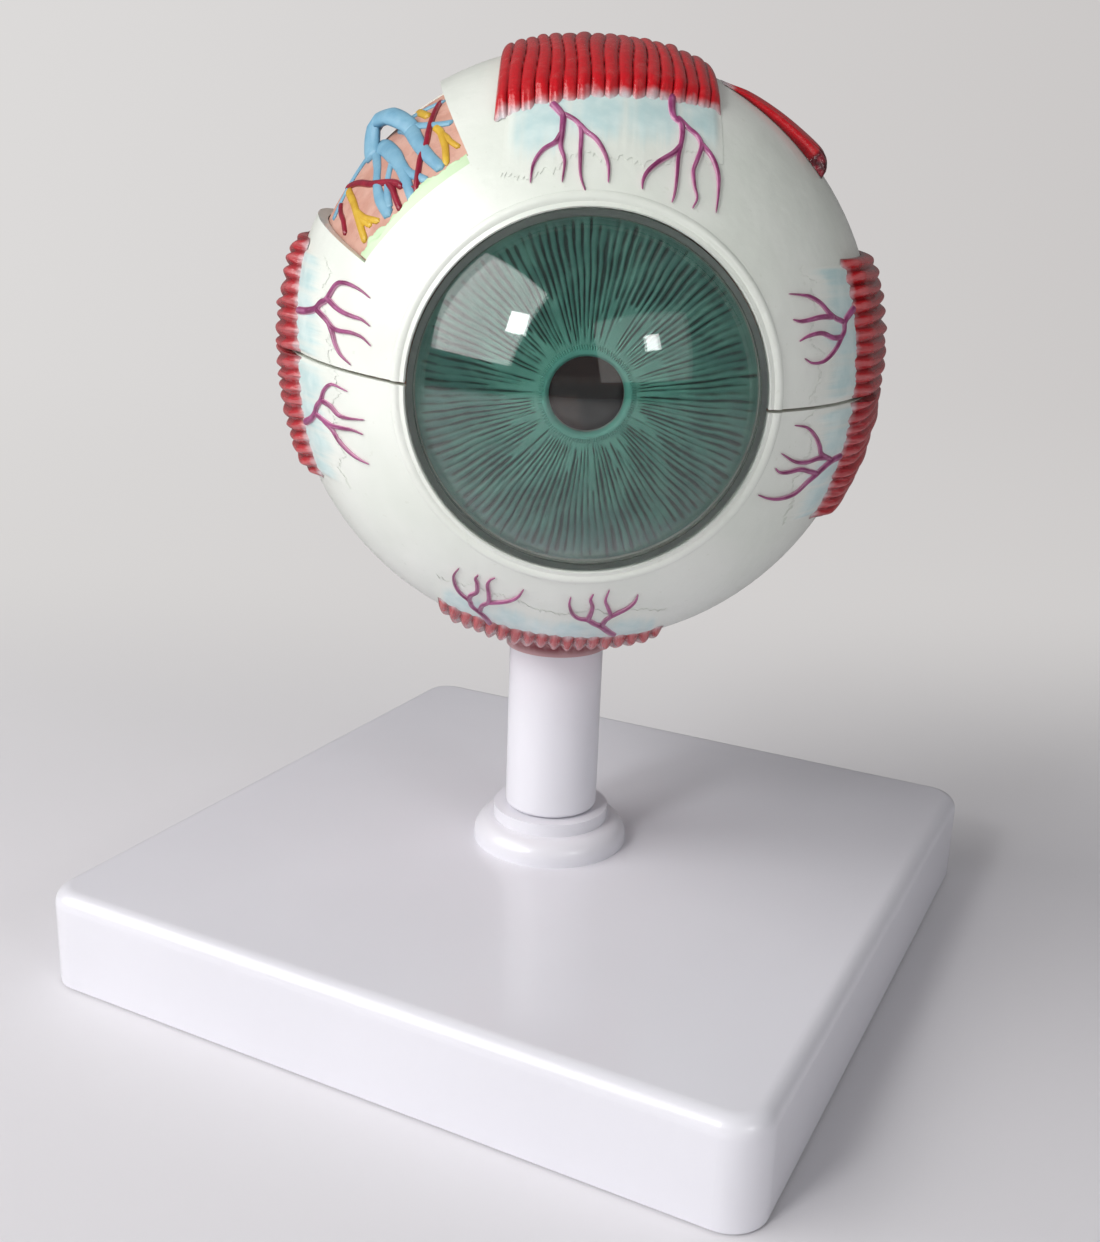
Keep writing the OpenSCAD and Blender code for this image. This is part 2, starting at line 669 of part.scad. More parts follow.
module upper_medial_rectus() {
    color(MUSCLE) eye_pose() place_at(90, 90)
        muscle([55.5, 57], [1, 1] * rectus_back, [-25, -24], -[1, 1] * seam_a, side_fibres, side_t);
}
module upper_medial_tendon() {
    color(TENDON) eye_pose() place_at(90, 90) tendon([55.5, 57], -23, -seam_a, 5);
}
module lower_medial_rectus() {
    color(MUSCLE_SIDE) eye_pose() place_at(90, 90)
        muscle([57, 58], [1, 1] * rectus_back, [1, 1] * seam_a, [24, 24], side_fibres, side_t);
}
module lower_medial_tendon() {
    color(TENDON) eye_pose() place_at(90, 90) tendon([57, 58], seam_a, 22, 5);
}

module superior_oblique() {
    color(MUSCLE) eye_pose() place_at(80, 34, -90)
        muscle([79, 79], [103, 103], [-2.5, -7], [2.5, 7], oblique_fibres, oblique_t, 0.3);
}

module inferior_oblique() {
    color(MUSCLE) eye_pose() place_at(128, -132, 78)
        muscle([78, 78], [106, 106], [-7, -6], [7, 6], oblique_fibres, 0.9 * oblique_t);
}

// ---------- optic nerve ----------

module nerve_line() { rotate([0, 0, nerve_offset * -1]) rotate([-90, 0, 0]) children(); }

// What stays clear of the shells: the ball, and above the seam its full shadow, so that
// the upper half can be lifted past the nerve
module nerve_clear() {
    sphere(skin_r);
    translate([0, 0, -1]) cylinder(r = skin_r + 0.2, h = far);
}

module nerve_sheath() {
    color("#d9c27a") eye_pose() difference() {
        nerve_line() difference() {
            cylinder(r = nerve_r, h = globe_r + nerve_len);
            translate([0, 0, globe_r / 2]) cylinder(r = nerve_r - nerve_wall, h = far);
        }
        nerve_clear();
    }
}

module central_pair() { for (x = SIDES) translate([x * 2.4, 0, 0]) children(); }

module optic_nerve() {
    color("#ecd79a") eye_pose() difference() {
        nerve_line() difference() {
            cylinder(r = nerve_r - nerve_wall - 0.1, h = globe_r + nerve_len + 1.5);
            central_pair() translate([0, 0, globe_r / 2]) cylinder(r = central_r + 0.1, h = far);
        }
        nerve_clear();
    }
}

module central_vessels() {
    color("#a02838") eye_pose() difference() {
        nerve_line() central_pair() cylinder(r = central_r, h = globe_r + nerve_len + 3);
        nerve_clear();
    }
}

// ---------- optics ----------

// Outline of the lens, grown by g on all sides, as a half section
module lens_half(g) {
    intersection() {
        translate([0, lens_top - lens_front_r]) circle(lens_front_r + g, $fn = 192);
        translate([0, lens_band_low - lens_back_h + lens_back_r]) circle(lens_back_r + g, $fn = 192);
        translate([0, -far / 2]) square([lens_r + g, far]);
    }
}

module lens() { color([0.95, 0.93, 0.8, 0.6]) eye_pose() on_gaze() rotate_extrude() lens_half(0); }

// The space the lens needs, open to the front
module lens_dish(g) {
    intersection() {
        translate([0, lens_band_low - lens_back_h + lens_back_r]) circle(lens_back_r + g, $fn = 192);
        translate([0, lens_band_low - far]) square([lens_r + g, far]);
    }
    translate([0, lens_band_low]) square([lens_r + g, far]);
}

module vitreous_body() {
    color([0.85, 0.92, 0.95, 0.5]) eye_pose() on_gaze() rotate_extrude() difference() {
        intersection() {
            circle(vitreous_r);
            translate([0, -far / 2]) square([far, far / 2 + vitreous_front]);
        }
        lens_dish(fit_gap);
        difference() {
            intersection() {
                circle(vitreous_r - vitreous_wall);
                translate([0, -far / 2]) square([far, far / 2 + vitreous_front - vitreous_wall]);
            }
            lens_dish(fit_gap + vitreous_wall);
        }
    }
}

// Ring behind the iris with the ciliary processes on its inside
module ciliary_body() {
    root_r = lens_r + 3;
    tip_r = lens_r + 0.5;
    step = 180 / ciliary_folds;
    color("#5b3a34") eye_pose() on_gaze() translate([0, 0, ciliary_back]) difference() {
        cylinder(r = plug_r, h = ciliary_h);
        translate([0, 0, -1]) linear_extrude(ciliary_h + 2)
            polygon([for (i = [0 : 2 * ciliary_folds - 1])
                (i % 2 == 0 ? root_r : tip_r) * [cos(i * step), sin(i * step)]]);
    }
}

module iris_plate() {
    color("#24564f") eye_pose() on_gaze() translate([0, 0, iris_back]) difference() {
        cylinder(r = plug_r, h = iris_t);
        translate([0, 0, -1]) cylinder(r = pupil_r, h = iris_t + 2);
    }
}

// Radial folds: two columns a fold, high and low in turn, lower at both ends
module iris() {
    cols = 2 * iris_folds;
    reach = [0, 0.14, 1];
    crest = [0.45, 1, 0.6];
    last = len(reach) - 1;
    function point(i, k, z) = let (a = -360 * i / cols, r = mix(iris_fold_in, iris_fold_out, reach[k]))
        [r * cos(a), r * sin(a), z];
    function top(i, k) = iris_front + iris_fold_h * (i % 2 == 0 ? crest[k] : 0.3);
    color("#4c9a8e") eye_pose() on_gaze()
        sheet([for (i = [0 : cols - 1]) [for (k = [0 : last]) point(i, k, top(i, k))]],
            [for (i = [0 : cols - 1]) [for (k = [0 : last]) point(i, k, iris_front)]], wrap = true);
}

// Smooth ring round the pupil, thicker towards its middle
module pupil_ring() {
    color("#6fc0b0") eye_pose() on_gaze() translate([0, 0, iris_front]) rotate_extrude()
        intersection() {
            translate([pupil_r + pupil_ring_w / 2, 0]) circle(pupil_ring_w / 2);
            translate([0, 0]) square([plug_r, pupil_ring_w]);
        }
}

module cornea() {
    color([0.9, 0.95, 0.97, 0.35]) eye_pose() on_gaze() difference() {
        rotate_extrude() {
            translate([cornea_in_r, cornea_back]) square([plug_r - cornea_in_r, cornea_flange_h]);
            intersection() {
                translate([0, dome_mid]) difference() {
                    circle(cornea_curve_r, $fn = 192);
                    circle(cornea_curve_r - cornea_t, $fn = 192);
                }
                translate([0, cornea_back + 1]) square([dome_r + 0.001, far]);
            }
        }
        for (x = SIDES) translate([x * plug_r, 0, cornea_back + cornea_flange_h / 2])
            cube([cornea_flange_w, cornea_notch_w, cornea_flange_h + 2], center = true);
    }
}

// ---------- the model ----------

base_shell();
foot_pads();
collar();
collar_washer();
collar_screw();
pole();
lower_sclera();
lower_choroid();
lower_retina_vessels();
inferior_rectus();
inferior_rectus_tendon();
lower_lateral_rectus();
lower_lateral_tendon();
lower_medial_rectus();
lower_medial_tendon();
inferior_oblique();
lower_ciliary_vessels();
nerve_sheath();
optic_nerve();
central_vessels();
vitreous_body();
upper_sclera();
upper_choroid();
upper_retina_vessels();
choroid_membrane();
vortex_vein();
choroid_arteries();
ciliary_nerves();
superior_rectus();
superior_rectus_tendon();
upper_lateral_rectus();
upper_lateral_tendon();
upper_medial_rectus();
upper_medial_tendon();
superior_oblique();
upper_ciliary_vessels();
lens();
ciliary_body();
iris_plate();
iris();
pupil_ring();
cornea();
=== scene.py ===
"""Looks of the eye anatomy model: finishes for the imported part, and modelled muscles, tendons,
vessels, iris and clear pieces round it. Lengths are metres, angles on the globe are degrees."""

import bmesh
import bpy
import numpy as np
from mathutils import Matrix


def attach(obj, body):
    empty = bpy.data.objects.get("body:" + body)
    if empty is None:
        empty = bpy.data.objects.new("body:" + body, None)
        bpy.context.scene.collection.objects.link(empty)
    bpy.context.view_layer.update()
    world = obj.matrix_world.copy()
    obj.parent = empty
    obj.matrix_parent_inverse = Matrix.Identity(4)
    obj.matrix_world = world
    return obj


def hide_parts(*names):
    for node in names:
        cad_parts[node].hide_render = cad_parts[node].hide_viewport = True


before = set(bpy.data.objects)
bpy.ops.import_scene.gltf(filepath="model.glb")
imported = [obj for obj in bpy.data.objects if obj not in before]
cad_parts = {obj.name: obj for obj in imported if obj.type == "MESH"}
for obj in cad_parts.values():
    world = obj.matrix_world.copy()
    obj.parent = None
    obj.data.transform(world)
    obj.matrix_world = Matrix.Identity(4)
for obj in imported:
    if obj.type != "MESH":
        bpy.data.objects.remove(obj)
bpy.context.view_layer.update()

MM = 0.001

# ---------- the globe and its frame ----------

GLOBE_R = 72 * MM
SEAT_Z = 86.6 * MM  # lowest point of the globe
EYE_TURN, EYE_LEAN, EYE_NOD = 28.0, 2.4, 3.0
PAINT_R = 72.08 * MM  # painted sheets on the white shell
LINING_R = 69.1 * MM  # outside of the choroid lining
RETINA_R = 66.1 * MM  # inside of the lining

# long edges of the window's opening, degrees round the gaze
WINDOW_LOW, WINDOW_HIGH = -64.6, -31.9

# distances forward of the middle of the globe
IRIS_FRONT = 56.0 * MM
CORNEA_BACK = 56.3 * MM
CORNEA_RIM = 60.3 * MM
LENS_TOP = 53.6 * MM

LENS_R, LENS_BAND = 27 * MM, 3 * MM
LENS_FRONT_R, LENS_BACK_R = 60 * MM, 36 * MM  # radii of its two faces
LENS_EDGE = LENS_TOP - LENS_FRONT_R + np.sqrt(LENS_FRONT_R**2 - LENS_R**2)  # front of its band


def turn_about(axis, degrees):
    """Rotation matrix about X, Y or Z, which are 0, 1 and 2."""
    i, j = [(1, 2), (2, 0), (0, 1)][axis]
    c, s = np.cos(np.radians(degrees)), np.sin(np.radians(degrees))
    m = np.eye(3)
    m[i, i] = m[j, j] = c
    m[i, j], m[j, i] = -s, s
    return m


LEANING = turn_about(2, EYE_TURN) @ turn_about(1, EYE_LEAN)
EYE_AXES = LEANING @ turn_about(0, EYE_NOD)
EYE_MID = LEANING @ [0, 0, GLOBE_R] + np.array([0, 0, SEAT_Z])


def in_eye(points):
    """Moves points from the globe's frame, gaze along -Y and top +Z, to their place on the pole."""
    return points @ EYE_AXES.T + EYE_MID


def globe_dir(angles):
    """Unit directions from (degrees off the gaze, degrees round it from the top, nasal positive)."""
    th, ph = np.radians(np.moveaxis(np.asarray(angles, float), -1, 0))
    return np.stack([np.sin(th) * np.sin(ph), -np.cos(th), np.sin(th) * np.cos(ph)], -1)


def strip_dir(th, a, side):
    """Unit directions th degrees along and a degrees across a strip that runs back from the gaze;
    side turns the strip round the gaze from the top."""
    th, a = np.broadcast_arrays(np.radians(th), np.radians(a))
    flat = np.stack([np.sin(a), -np.cos(a) * np.cos(th), np.cos(a) * np.sin(th)], -1)
    return flat @ side.T


def smooth_step(x, low=0.0, high=1.0):
    t = np.clip((x - low) / (high - low), 0, 1)
    return t * t * (3 - 2 * t)


def smooth_path(points, steps=8):
    """Catmull-Rom curve through the points, steps pieces for each span."""
    p = np.asarray(points, float)
    p = np.vstack([2 * p[0] - p[1], p, 2 * p[-1] - p[-2]])
    a, b, c, d = (p[i : len(p) - 3 + i, None] for i in range(4))
    t = np.linspace(0, 1, steps, endpoint=False)[None, :, None]
    bend = (2 * a - 5 * b + 4 * c - d) * t**2 + (3 * b - a - 3 * c + d) * t**3
    curve = b + 0.5 * ((c - a) * t + bend)
    return np.vstack([curve.reshape(-1, p.shape[1]), p[-2]])


def waves(x, seed, count=4, first=1.0):
    """Sum of sines of rising frequency with seeded phases, between about -1 and 1."""
    rng = np.random.default_rng(seed)
    total = np.zeros_like(x, dtype=float)
    for k in range(count):
        total += np.sin(2 * np.pi * (first * (k + 1) * x + rng.random())) / (k + 1)
    return total / 1.5


# ---------- meshes ----------


def grid_faces(rows, cols, wrap=False):
    """Quads of a grid of points stored row by row; wrap joins the last column to the first."""
    i = np.arange(rows - 1)[:, None] * cols
    j = np.arange(cols if wrap else cols - 1)[None, :]
    k = (j + 1) % cols
    return np.stack([i + j, i + k, i + cols + k, i + cols + j], -1).reshape(-1, 4)


def closed_sheet(outer, inner, wrap=False):
    """Points and quads of the closed solid between two grids of points with the same shape."""
    rows, cols = outer.shape[:2]
    n, last = rows * cols, (rows - 1) * cols
    top = grid_faces(rows, cols, wrap)
    j = np.arange(cols if wrap else cols - 1)
    k = (j + 1) % cols
    rims = [(j, k), (last + k, last + j)]
    if not wrap:
        i = np.arange(rows - 1) * cols
        rims += [(i + cols, i), (i + cols - 1, i + 2 * cols - 1)]
    sides = [np.stack([b, a, a + n, b + n], -1) for a, b in rims]
    points = np.vstack([outer.reshape(-1, 3), inner.reshape(-1, 3)])
    return points, np.vstack([top, top[:, ::-1] + n, *sides]).tolist()


def outward(points, faces):
    """The faces, turned round if the solid's signed volume is negative."""
    quads = np.array([f[:4] if len(f) > 3 else [*f, f[-1]] for f in faces])
    a, b, c, d = (points[quads[:, i]] for i in range(4))
    volume = np.einsum("ij,ij->i", a, np.cross(b, c)) + np.einsum("ij,ij->i", a, np.cross(c, d))
    return [f[::-1] for f in faces] if volume.sum() < 0 else faces


def piece(name, body, finish, points, faces, nodes=(), marks=None, crease=50, weld=False):
    """Makes a mesh object in place, with its marks as point attributes, that rides on a body."""
    mesh = bpy.data.meshes.new(name)
    mesh.from_pydata(points.tolist(), [], outward(points - points.mean(0), faces))
    for mark, values in (marks or {}).items():
        attribute = mesh.attributes.new(mark, "FLOAT", "POINT")
        attribute.data.foreach_set("value", np.asarray(values, np.float32).ravel())
    if weld:
        work = bmesh.new()
        work.from_mesh(mesh)
        bmesh.ops.remove_doubles(work, verts=work.verts, dist=1e-7)
        work.to_mesh(mesh)
        work.free()
    mesh.polygons.foreach_set("use_smooth", np.ones(len(mesh.polygons), bool))
    mesh.set_sharp_from_angle(angle=np.radians(crease))
    mesh.materials.append(finish.material)
    obj = bpy.data.objects.new(name, mesh)
    bpy.context.scene.collection.objects.link(obj)
    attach(obj, body)
    if nodes:
        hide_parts(*nodes)
    return obj


def joined(parts):
    """Several (points, faces, marks) as one, marks joined by name."""
    points, faces, marks, start = [], [], {}, 0
    for p, f, m in parts:
        points.append(p)
        faces += [[i + start for i in face] for face in f]
        for key, values in m.items():
            marks.setdefault(key, []).append(values)
        start += len(p)
    return np.vstack(points), faces, {k: np.concatenate(v) for k, v in marks.items()}


def relief(route, widths, heights, seat, sides=14, steps=8, round_off=0.03):
    """Elliptical tube along a route of globe angles, seated at a distance from the middle.
    Ring = centre + side * half width * cos t + outward * height * sin t, round at both ends."""
    out = globe_dir(smooth_path(route, steps))
    share = np.linspace(0, 1, len(out))
    nose = np.clip(np.minimum(share, 1 - share) / round_off, 0, 1)
    nose = np.sqrt(1 - (1 - nose) ** 2) * 0.97 + 0.03

    def spread(values):
        return np.interp(share, np.linspace(0, 1, len(np.atleast_1d(values))), np.atleast_1d(values))

    middle = out * spread(seat)[:, None]
    side = np.cross(np.gradient(middle, axis=0), out)
    side /= np.linalg.norm(side, axis=1)[:, None]
    t = np.linspace(0, 2 * np.pi, sides, endpoint=False)
    across = side[:, None] * (spread(widths) / 2 * nose)[:, None, None] * np.cos(t)[:, None]
    rise = out[:, None] * (spread(heights) * nose)[:, None, None] * np.sin(t)[:, None]
    points = (middle[:, None] + across + rise).reshape(-1, 3)
    n = len(out)
    caps = [list(range(sides)), list(range((n - 1) * sides, n * sides))[::-1]]
    faces = grid_faces(n, sides, wrap=True).tolist() + [caps[0][::-1], caps[1][::-1]]
    return in_eye(points), faces, {"rise": np.tile(np.sin(t), n)}


def lathe(profile, steps=256):
    """Grid of a profile of (distance from the gaze line, distance forward) turned about it."""
    r, forward = np.asarray(profile, float).T
    a = np.linspace(0, 2 * np.pi, steps, endpoint=False)
    ring = np.stack([np.cos(a), np.zeros(steps), np.sin(a)], -1)
    points = r[:, None, None] * ring - forward[:, None, None] * np.array([0, 1, 0])
    return in_eye(points.reshape(-1, 3)), grid_faces(len(r), steps, wrap=True).tolist()


def arc(middle, radius, start, end, steps):
    """Points of an arc in the profile plane about a point on the gaze line, in degrees from it."""
    a = np.radians(np.linspace(start, end, steps))
    return np.stack([radius * np.sin(a), middle + radius * np.cos(a)], -1)


# ---------- finishes ----------


def rgb(code):
    """Linear colour of a six digit colour code."""
    c = np.array([int(code[i : i + 2], 16) / 255 for i in (0, 2, 4)])
    return (*np.where(c <= 0.04045, c / 12.92, ((c + 0.055) / 1.055) ** 2.4), 1.0)


class Value:
    """A node's output; arithmetic on it adds Math nodes to its finish."""

    def __init__(self, finish, link):
        self.finish = finish
        self.link = link

    def math(self, operation, *values):
        inputs = dict(enumerate(values))
        return self.finish.node("ShaderNodeMath", {"operation": operation}, inputs)

    def __add__(self, other):
        return self.math("ADD", self, other)

    __radd__ = __add__

    def __sub__(self, other):
        return self.math("SUBTRACT", self, other)

    def __rsub__(self, other):
        return self.math("SUBTRACT", other, self)

    def __mul__(self, other):
        return self.math("MULTIPLY", self, other)

    __rmul__ = __mul__

    def step(self, low, high):
        """0 below low, 1 above high and smooth between them."""
        inputs = {"Value": self, "From Min": low, "From Max": high}
        return self.finish.node("ShaderNodeMapRange", {"interpolation_type": "SMOOTHSTEP"}, inputs)


class Finish:
    """A material with one Principled shader; what varies over the surface is fed by nodes."""

    def __init__(self, name, **inputs):
        self.material = bpy.data.materials.new(name)
        self.material.use_nodes = True
        self.tree = self.material.node_tree
        self.shader = self.tree.nodes["Principled BSDF"]
        self.set(**inputs)

    def feed(self, socket, value):
        if isinstance(value, Value):
            self.tree.links.new(value.link, socket)
        else:
            socket.default_value = value

    def node(self, kind, settings=None, inputs=None, output=0):
        made = self.tree.nodes.new(kind)
        for key, value in (settings or {}).items():
            setattr(made, key, value)
        for key, value in (inputs or {}).items():
            self.feed(made.inputs[key], value)
        return Value(self, made.outputs[output])

    def set(self, **inputs):
        """Sets or links inputs of the shader, named in small letters with underscores."""
        names = {s.name.lower().replace(" ", "_"): s for s in self.shader.inputs}
        for key, value in inputs.items():
            self.feed(names[key], value)
        return self

    def place(self):
        return self.node("ShaderNodeTexCoord", output="Object")

    def mark(self, name):
        return self.node("ShaderNodeAttribute", {"attribute_name": name}, output="Fac")

    def noise(self, size, detail=3.0):
        """Soft noise between 0 and 1 with features of about size metres."""
        inputs = {"Vector": self.place(), "Scale": 1 / size, "Detail": detail}
        return self.node("ShaderNodeTexNoise", None, inputs)

    def mix(self, factor, a, b):
        inputs = {0: factor, 6: a, 7: b}
        return self.node("ShaderNodeMix", {"data_type": "RGBA"}, inputs, output=2)

    def bump(self, height, distance, strength=1.0):
        inputs = {"Height": height, "Distance": distance, "Strength": strength}
        return self.node("ShaderNodeBump", None, inputs)


def white_plastic():
    """Glossy white moulding, very slightly clouded and dulled by handling, with a faint sink."""
    f = Finish("white_plastic", coat_weight=0.3, coat_roughness=0.1)
    clouds = f.noise(0.06, 2.0)
    f.set(base_color=f.mix(clouds.step(0.25, 0.8), rgb("E6E5EC"), rgb("EAE9F0")))
    f.set(roughness=0.26 + 0.05 * clouds)
    return f.set(normal=f.bump(f.noise(0.05, 0.0), 0.0002, 0.15))


def black_rubber():
    f = Finish("black_rubber")
    grain = f.noise(0.0012)
    f.set(base_color=f.mix(grain, rgb("2E2E31"), rgb("3E3D40")), roughness=0.75)
    return f.set(normal=f.bump(grain, 0.0001))


def plated_steel():
    f = Finish("plated_steel", metallic=1.0, roughness=0.3)
    grain = f.noise(0.0015)
    f.set(base_color=f.mix(grain, rgb("A6A7AA"), rgb("C9C9CB")))
    return f.set(normal=f.bump(grain, 0.00005, 0.4))


def sclera_colour(f):
    """Warm white lacquer with faint green and grey clouds, used where paint fades into it too."""
    clouds = f.noise(0.03).step(0.3, 0.7)
    flecks = f.noise(0.0016, 1.0).step(0.7, 0.78)
    warm = f.mix(clouds, rgb("EEF1EA"), rgb("E4E9E0"))
    return f.mix(flecks * 0.25, warm, rgb("D2D6C8"))


def sclera_bump(f):
    """Slow hollows and swells of the hand-finished shell under fine pits."""
    slow = f.noise(0.009, 2.0)
    fine = f.noise(0.0011, 2.0)
    return f.bump(slow + 0.07 * fine, 0.0008, 0.4)


def past_plane(f, normal, start):
    """How far a place lies past a plane of the globe's frame, in metres."""
    start = in_eye(np.asarray(start, float))
    normal = EYE_AXES @ np.asarray(normal, float)
    parts = [f.node("ShaderNodeSeparateXYZ", None, {0: f.place()}, output=axis) * float(n)
             for axis, n in zip("XYZ", normal)]
    return parts[0] + parts[1] + parts[2] - float(normal @ start)


def window_band(f):
    """Pale green that runs over the shell's edge along the front of the window."""
    a, b, c = globe_dir([[48.6, -64.4], [46.7, -48], [46.7, -32]]) * GLOBE_R
    back = np.cross(b - a, c - a)
    back *= np.sign(back[1]) / np.linalg.norm(back)
    bound = past_plane(f, back, a).step(-0.0001, 0.0001)
    for azimuth, way in ((WINDOW_LOW, 1), (WINDOW_HIGH, -1)):
        turn = np.radians(azimuth)
        side = past_plane(f, [way * np.cos(turn), 0, -way * np.sin(turn)], [0, 0, 0])
        bound = bound * side.step(-0.0001, 0.0001)
    front = past_plane(f, [0, -1, 0], globe_dir([49.5, -48]) * GLOBE_R).step(0, 0.0002)
    return bound * front


def sclera_paint():
    """White lacquer; the boss under the globe is painted dull red like the muscle beside it."""
    f = Finish("sclera_paint", coat_weight=0.3, coat_roughness=0.2)
    axes = f.node("ShaderNodeSeparateXYZ", None, {0: f.place()}, output="Z")
    low = 1 - axes.step(0.0868, 0.0892)
    brushed = f.noise(0.004).step(0.2, 0.6) * axes.step(0.0824, 0.0846)
    red = f.mix(brushed, rgb("C9A3A6"), rgb("86343F"))
    shell = f.mix(window_band(f), sclera_colour(f), rgb("CBE3BC"))
    f.set(base_color=f.mix(low, shell, red), roughness=0.34)
    return f.set(normal=sclera_bump(f))


def lining_paint():
    """Salmon lining with mottled brush marks."""
    f = Finish("lining_paint", roughness=0.5)
    soft = f.noise(0.006).step(0.3, 0.7)
    fine = f.noise(0.0018)
    base = f.mix(soft, rgb("C4907F"), rgb("D2A595"))
    f.set(base_color=f.mix(fine.step(0.55, 0.8) * 0.5, base, rgb("B87C70")))
    return f.set(normal=f.bump(soft + 0.3 * fine, 0.0005, 0.6))


def relief_paint(name, low, high, edge, roughness=0.32):
    """Paint on raised work: two tones along it, and a darker third on its low flanks and foot, painted
    shade in the crease where it meets the surface.
    """
    f = Finish(name, roughness=roughness, coat_weight=0.2, coat_roughness=0.2)
    tone = f.mix(f.noise(0.004).step(0.3, 0.7), rgb(low), rgb(high))
    # foot: the low flanks take the darker edge colour, painted shade along the crease with the surface
    foot = 1 - f.mark("rise").step(-0.1, 0.35)
    f.set(base_color=f.mix(foot, tone, rgb(edge)))
    return f.set(normal=f.bump(f.noise(0.0014), 0.0002, 0.6))


def vessel_paint():
    """Purple line over a wider pink one, with a pale painted highlight along its crest here and there.
    """
    f = Finish("vessel_paint", roughness=0.3, coat_weight=0.3)
    rise = f.mark("rise")
    wobble = 0.25 * f.noise(0.0016)
    core = (rise + wobble).step(0.42, 0.8)
    dark = f.mix(f.noise(0.004).step(0.35, 0.65), rgb("7E2A5C"), rgb("A04C80"))
    # painted highlight: a pale streak along the top of the vessel here and there
    crest_highlight = (rise + 0.4 * f.noise(0.003)).step(1.12, 1.28) * 0.5
    tone = f.mix(crest_highlight, dark, rgb("CC92B0"))
    return f.set(base_color=f.mix(core, rgb("C98FAE"), tone))


def muscle_paint(name, deep, bright, dry, crest):
    """Red ribs: dark in the grooves, dry-brushed towards the back, thin white at the front teeth,
    and pebbled dark red where the fibres are cut. crest paints the tops of the ribs dry too and
    shortens the white."""
    f = Finish(name, coat_weight=0.35, coat_roughness=0.14)
    roll, front, cut = f.mark("roll"), f.mark("front"), f.mark("cut")
    patches = f.noise(0.0035, 3.0)
    base = f.mix((roll + 0.4 * patches).step(0.25, 0.9), rgb(deep), rgb(bright))
    brushed = (patches + 0.3 * roll + 0.22 * front.step(10, 42)).step(0.75, 1.1) * 0.3
    tops = (roll + 0.7 * patches).step(0.95, 1.4) * crest
    dusted = brushed + tops - brushed * tops
    tone = f.mix(dusted, base, rgb(dry))
    fade = 1 - (front + 4 * patches).step(1.8, 5.6 - 2 * crest)
    tip = fade * (0.3 + 0.7 * roll) * (0.9 - 0.35 * crest)
    painted = f.mix(tip, tone, rgb("D3DCDF"))
    inputs = {"Vector": f.place(), "Scale": 620}
    pebbles = f.node("ShaderNodeTexVoronoi", None, inputs, output="Distance")
    f.set(base_color=f.mix(cut, painted, f.mix(pebbles.step(0.2, 0.7), rgb("8A2230"), rgb("4A0C16"))))
    f.set(roughness=0.22 + 0.28 * dusted)
    return f.set(normal=f.bump(f.noise(0.001, 3.0) + 3 * (1 - pebbles) * cut, 0.0003, 0.6))


def tendon_paint():
    """Pale blue brush strokes that thin out into the white lacquer."""
    f = Finish("tendon_paint", coat_weight=0.3, coat_roughness=0.2, roughness=0.34)
    cover = f.mark("cover").step(0.05, 0.9)
    wash = f.mix(f.noise(0.005).step(0.3, 0.7), rgb("C2DDDD"), rgb("D8EAE8"))
    f.set(base_color=f.mix(cover, sclera_colour(f), wash))
    return f.set(normal=sclera_bump(f))


def nerve_sheath_paint():
    f = Finish("nerve_sheath_paint", roughness=0.45)
    fibres = f.noise(0.003, 3.0)
    f.set(base_color=f.mix(fibres, rgb("C9AE63"), rgb("E3CF92")))
    return f.set(normal=f.bump(fibres, 0.0005, 0.6))


def iris_paint():
    """Teal ridges darker outwards as painted shade towards the outer edge, near black grooves, and a
    brighter ring round the pupil.
    """
    f = Finish("iris_paint", roughness=0.4)
    groove, ring, inner = f.mark("groove"), f.mark("ring"), f.mark("inner")
    patches = f.noise(0.007, 3.0)
    streaks = f.noise(0.0016, 2.0)
    near = f.mix(patches.step(0.3, 0.7), rgb("559A8B"), rgb("6CB0A0"))
    far = f.mix(patches.step(0.3, 0.7), rgb("447E74"), rgb("5E9A8C"))
    # teal runs from near by the pupil to far outwards; the darker far tone is painted shade towards the
    # outer edge
    teal = f.mix(inner, far, near)
    dark = f.mix(streaks.step(0.4, 0.75), rgb("081A18"), rgb("1B3934"))
    lined = f.mix((groove + 0.4 * streaks - 0.2).step(0.3, 0.85) * 0.85, teal, dark)
    f.set(base_color=f.mix(ring, lined, f.mix(patches, rgb("4B9A8B"), rgb("66B3A3"))))
    return f.set(normal=f.bump(f.noise(0.0009), 0.00015, 0.6))


def dark_paint(name, low, high):
    f = Finish(name, roughness=0.5)
    grain = f.noise(0.002)
    f.set(base_color=f.mix(grain, rgb(low), rgb(high)))
    return f.set(normal=f.bump(grain, 0.0001))


def clear_plastic(name, tint, ior, roughness=0.015, specular=0.5):
    """Clear cast plastic with a few faint polishing waves."""
    f = Finish(name, base_color=rgb(tint), transmission_weight=1.0, ior=ior)
    f.set(roughness=roughness, specular_ior_level=specular)
    return f.set(normal=f.bump(f.noise(0.03, 0.0), 0.0001, 0.2))


def clear_cornea():
    """Polished dome, frosted on its turned rim."""
    f = clear_plastic("clear_cornea", "F4F8F6", 1.49)
    return f.set(roughness=0.015 + 0.5 * f.mark("frost"))


WHITE = white_plastic()
SCLERA = sclera_paint()
LINING = lining_paint()
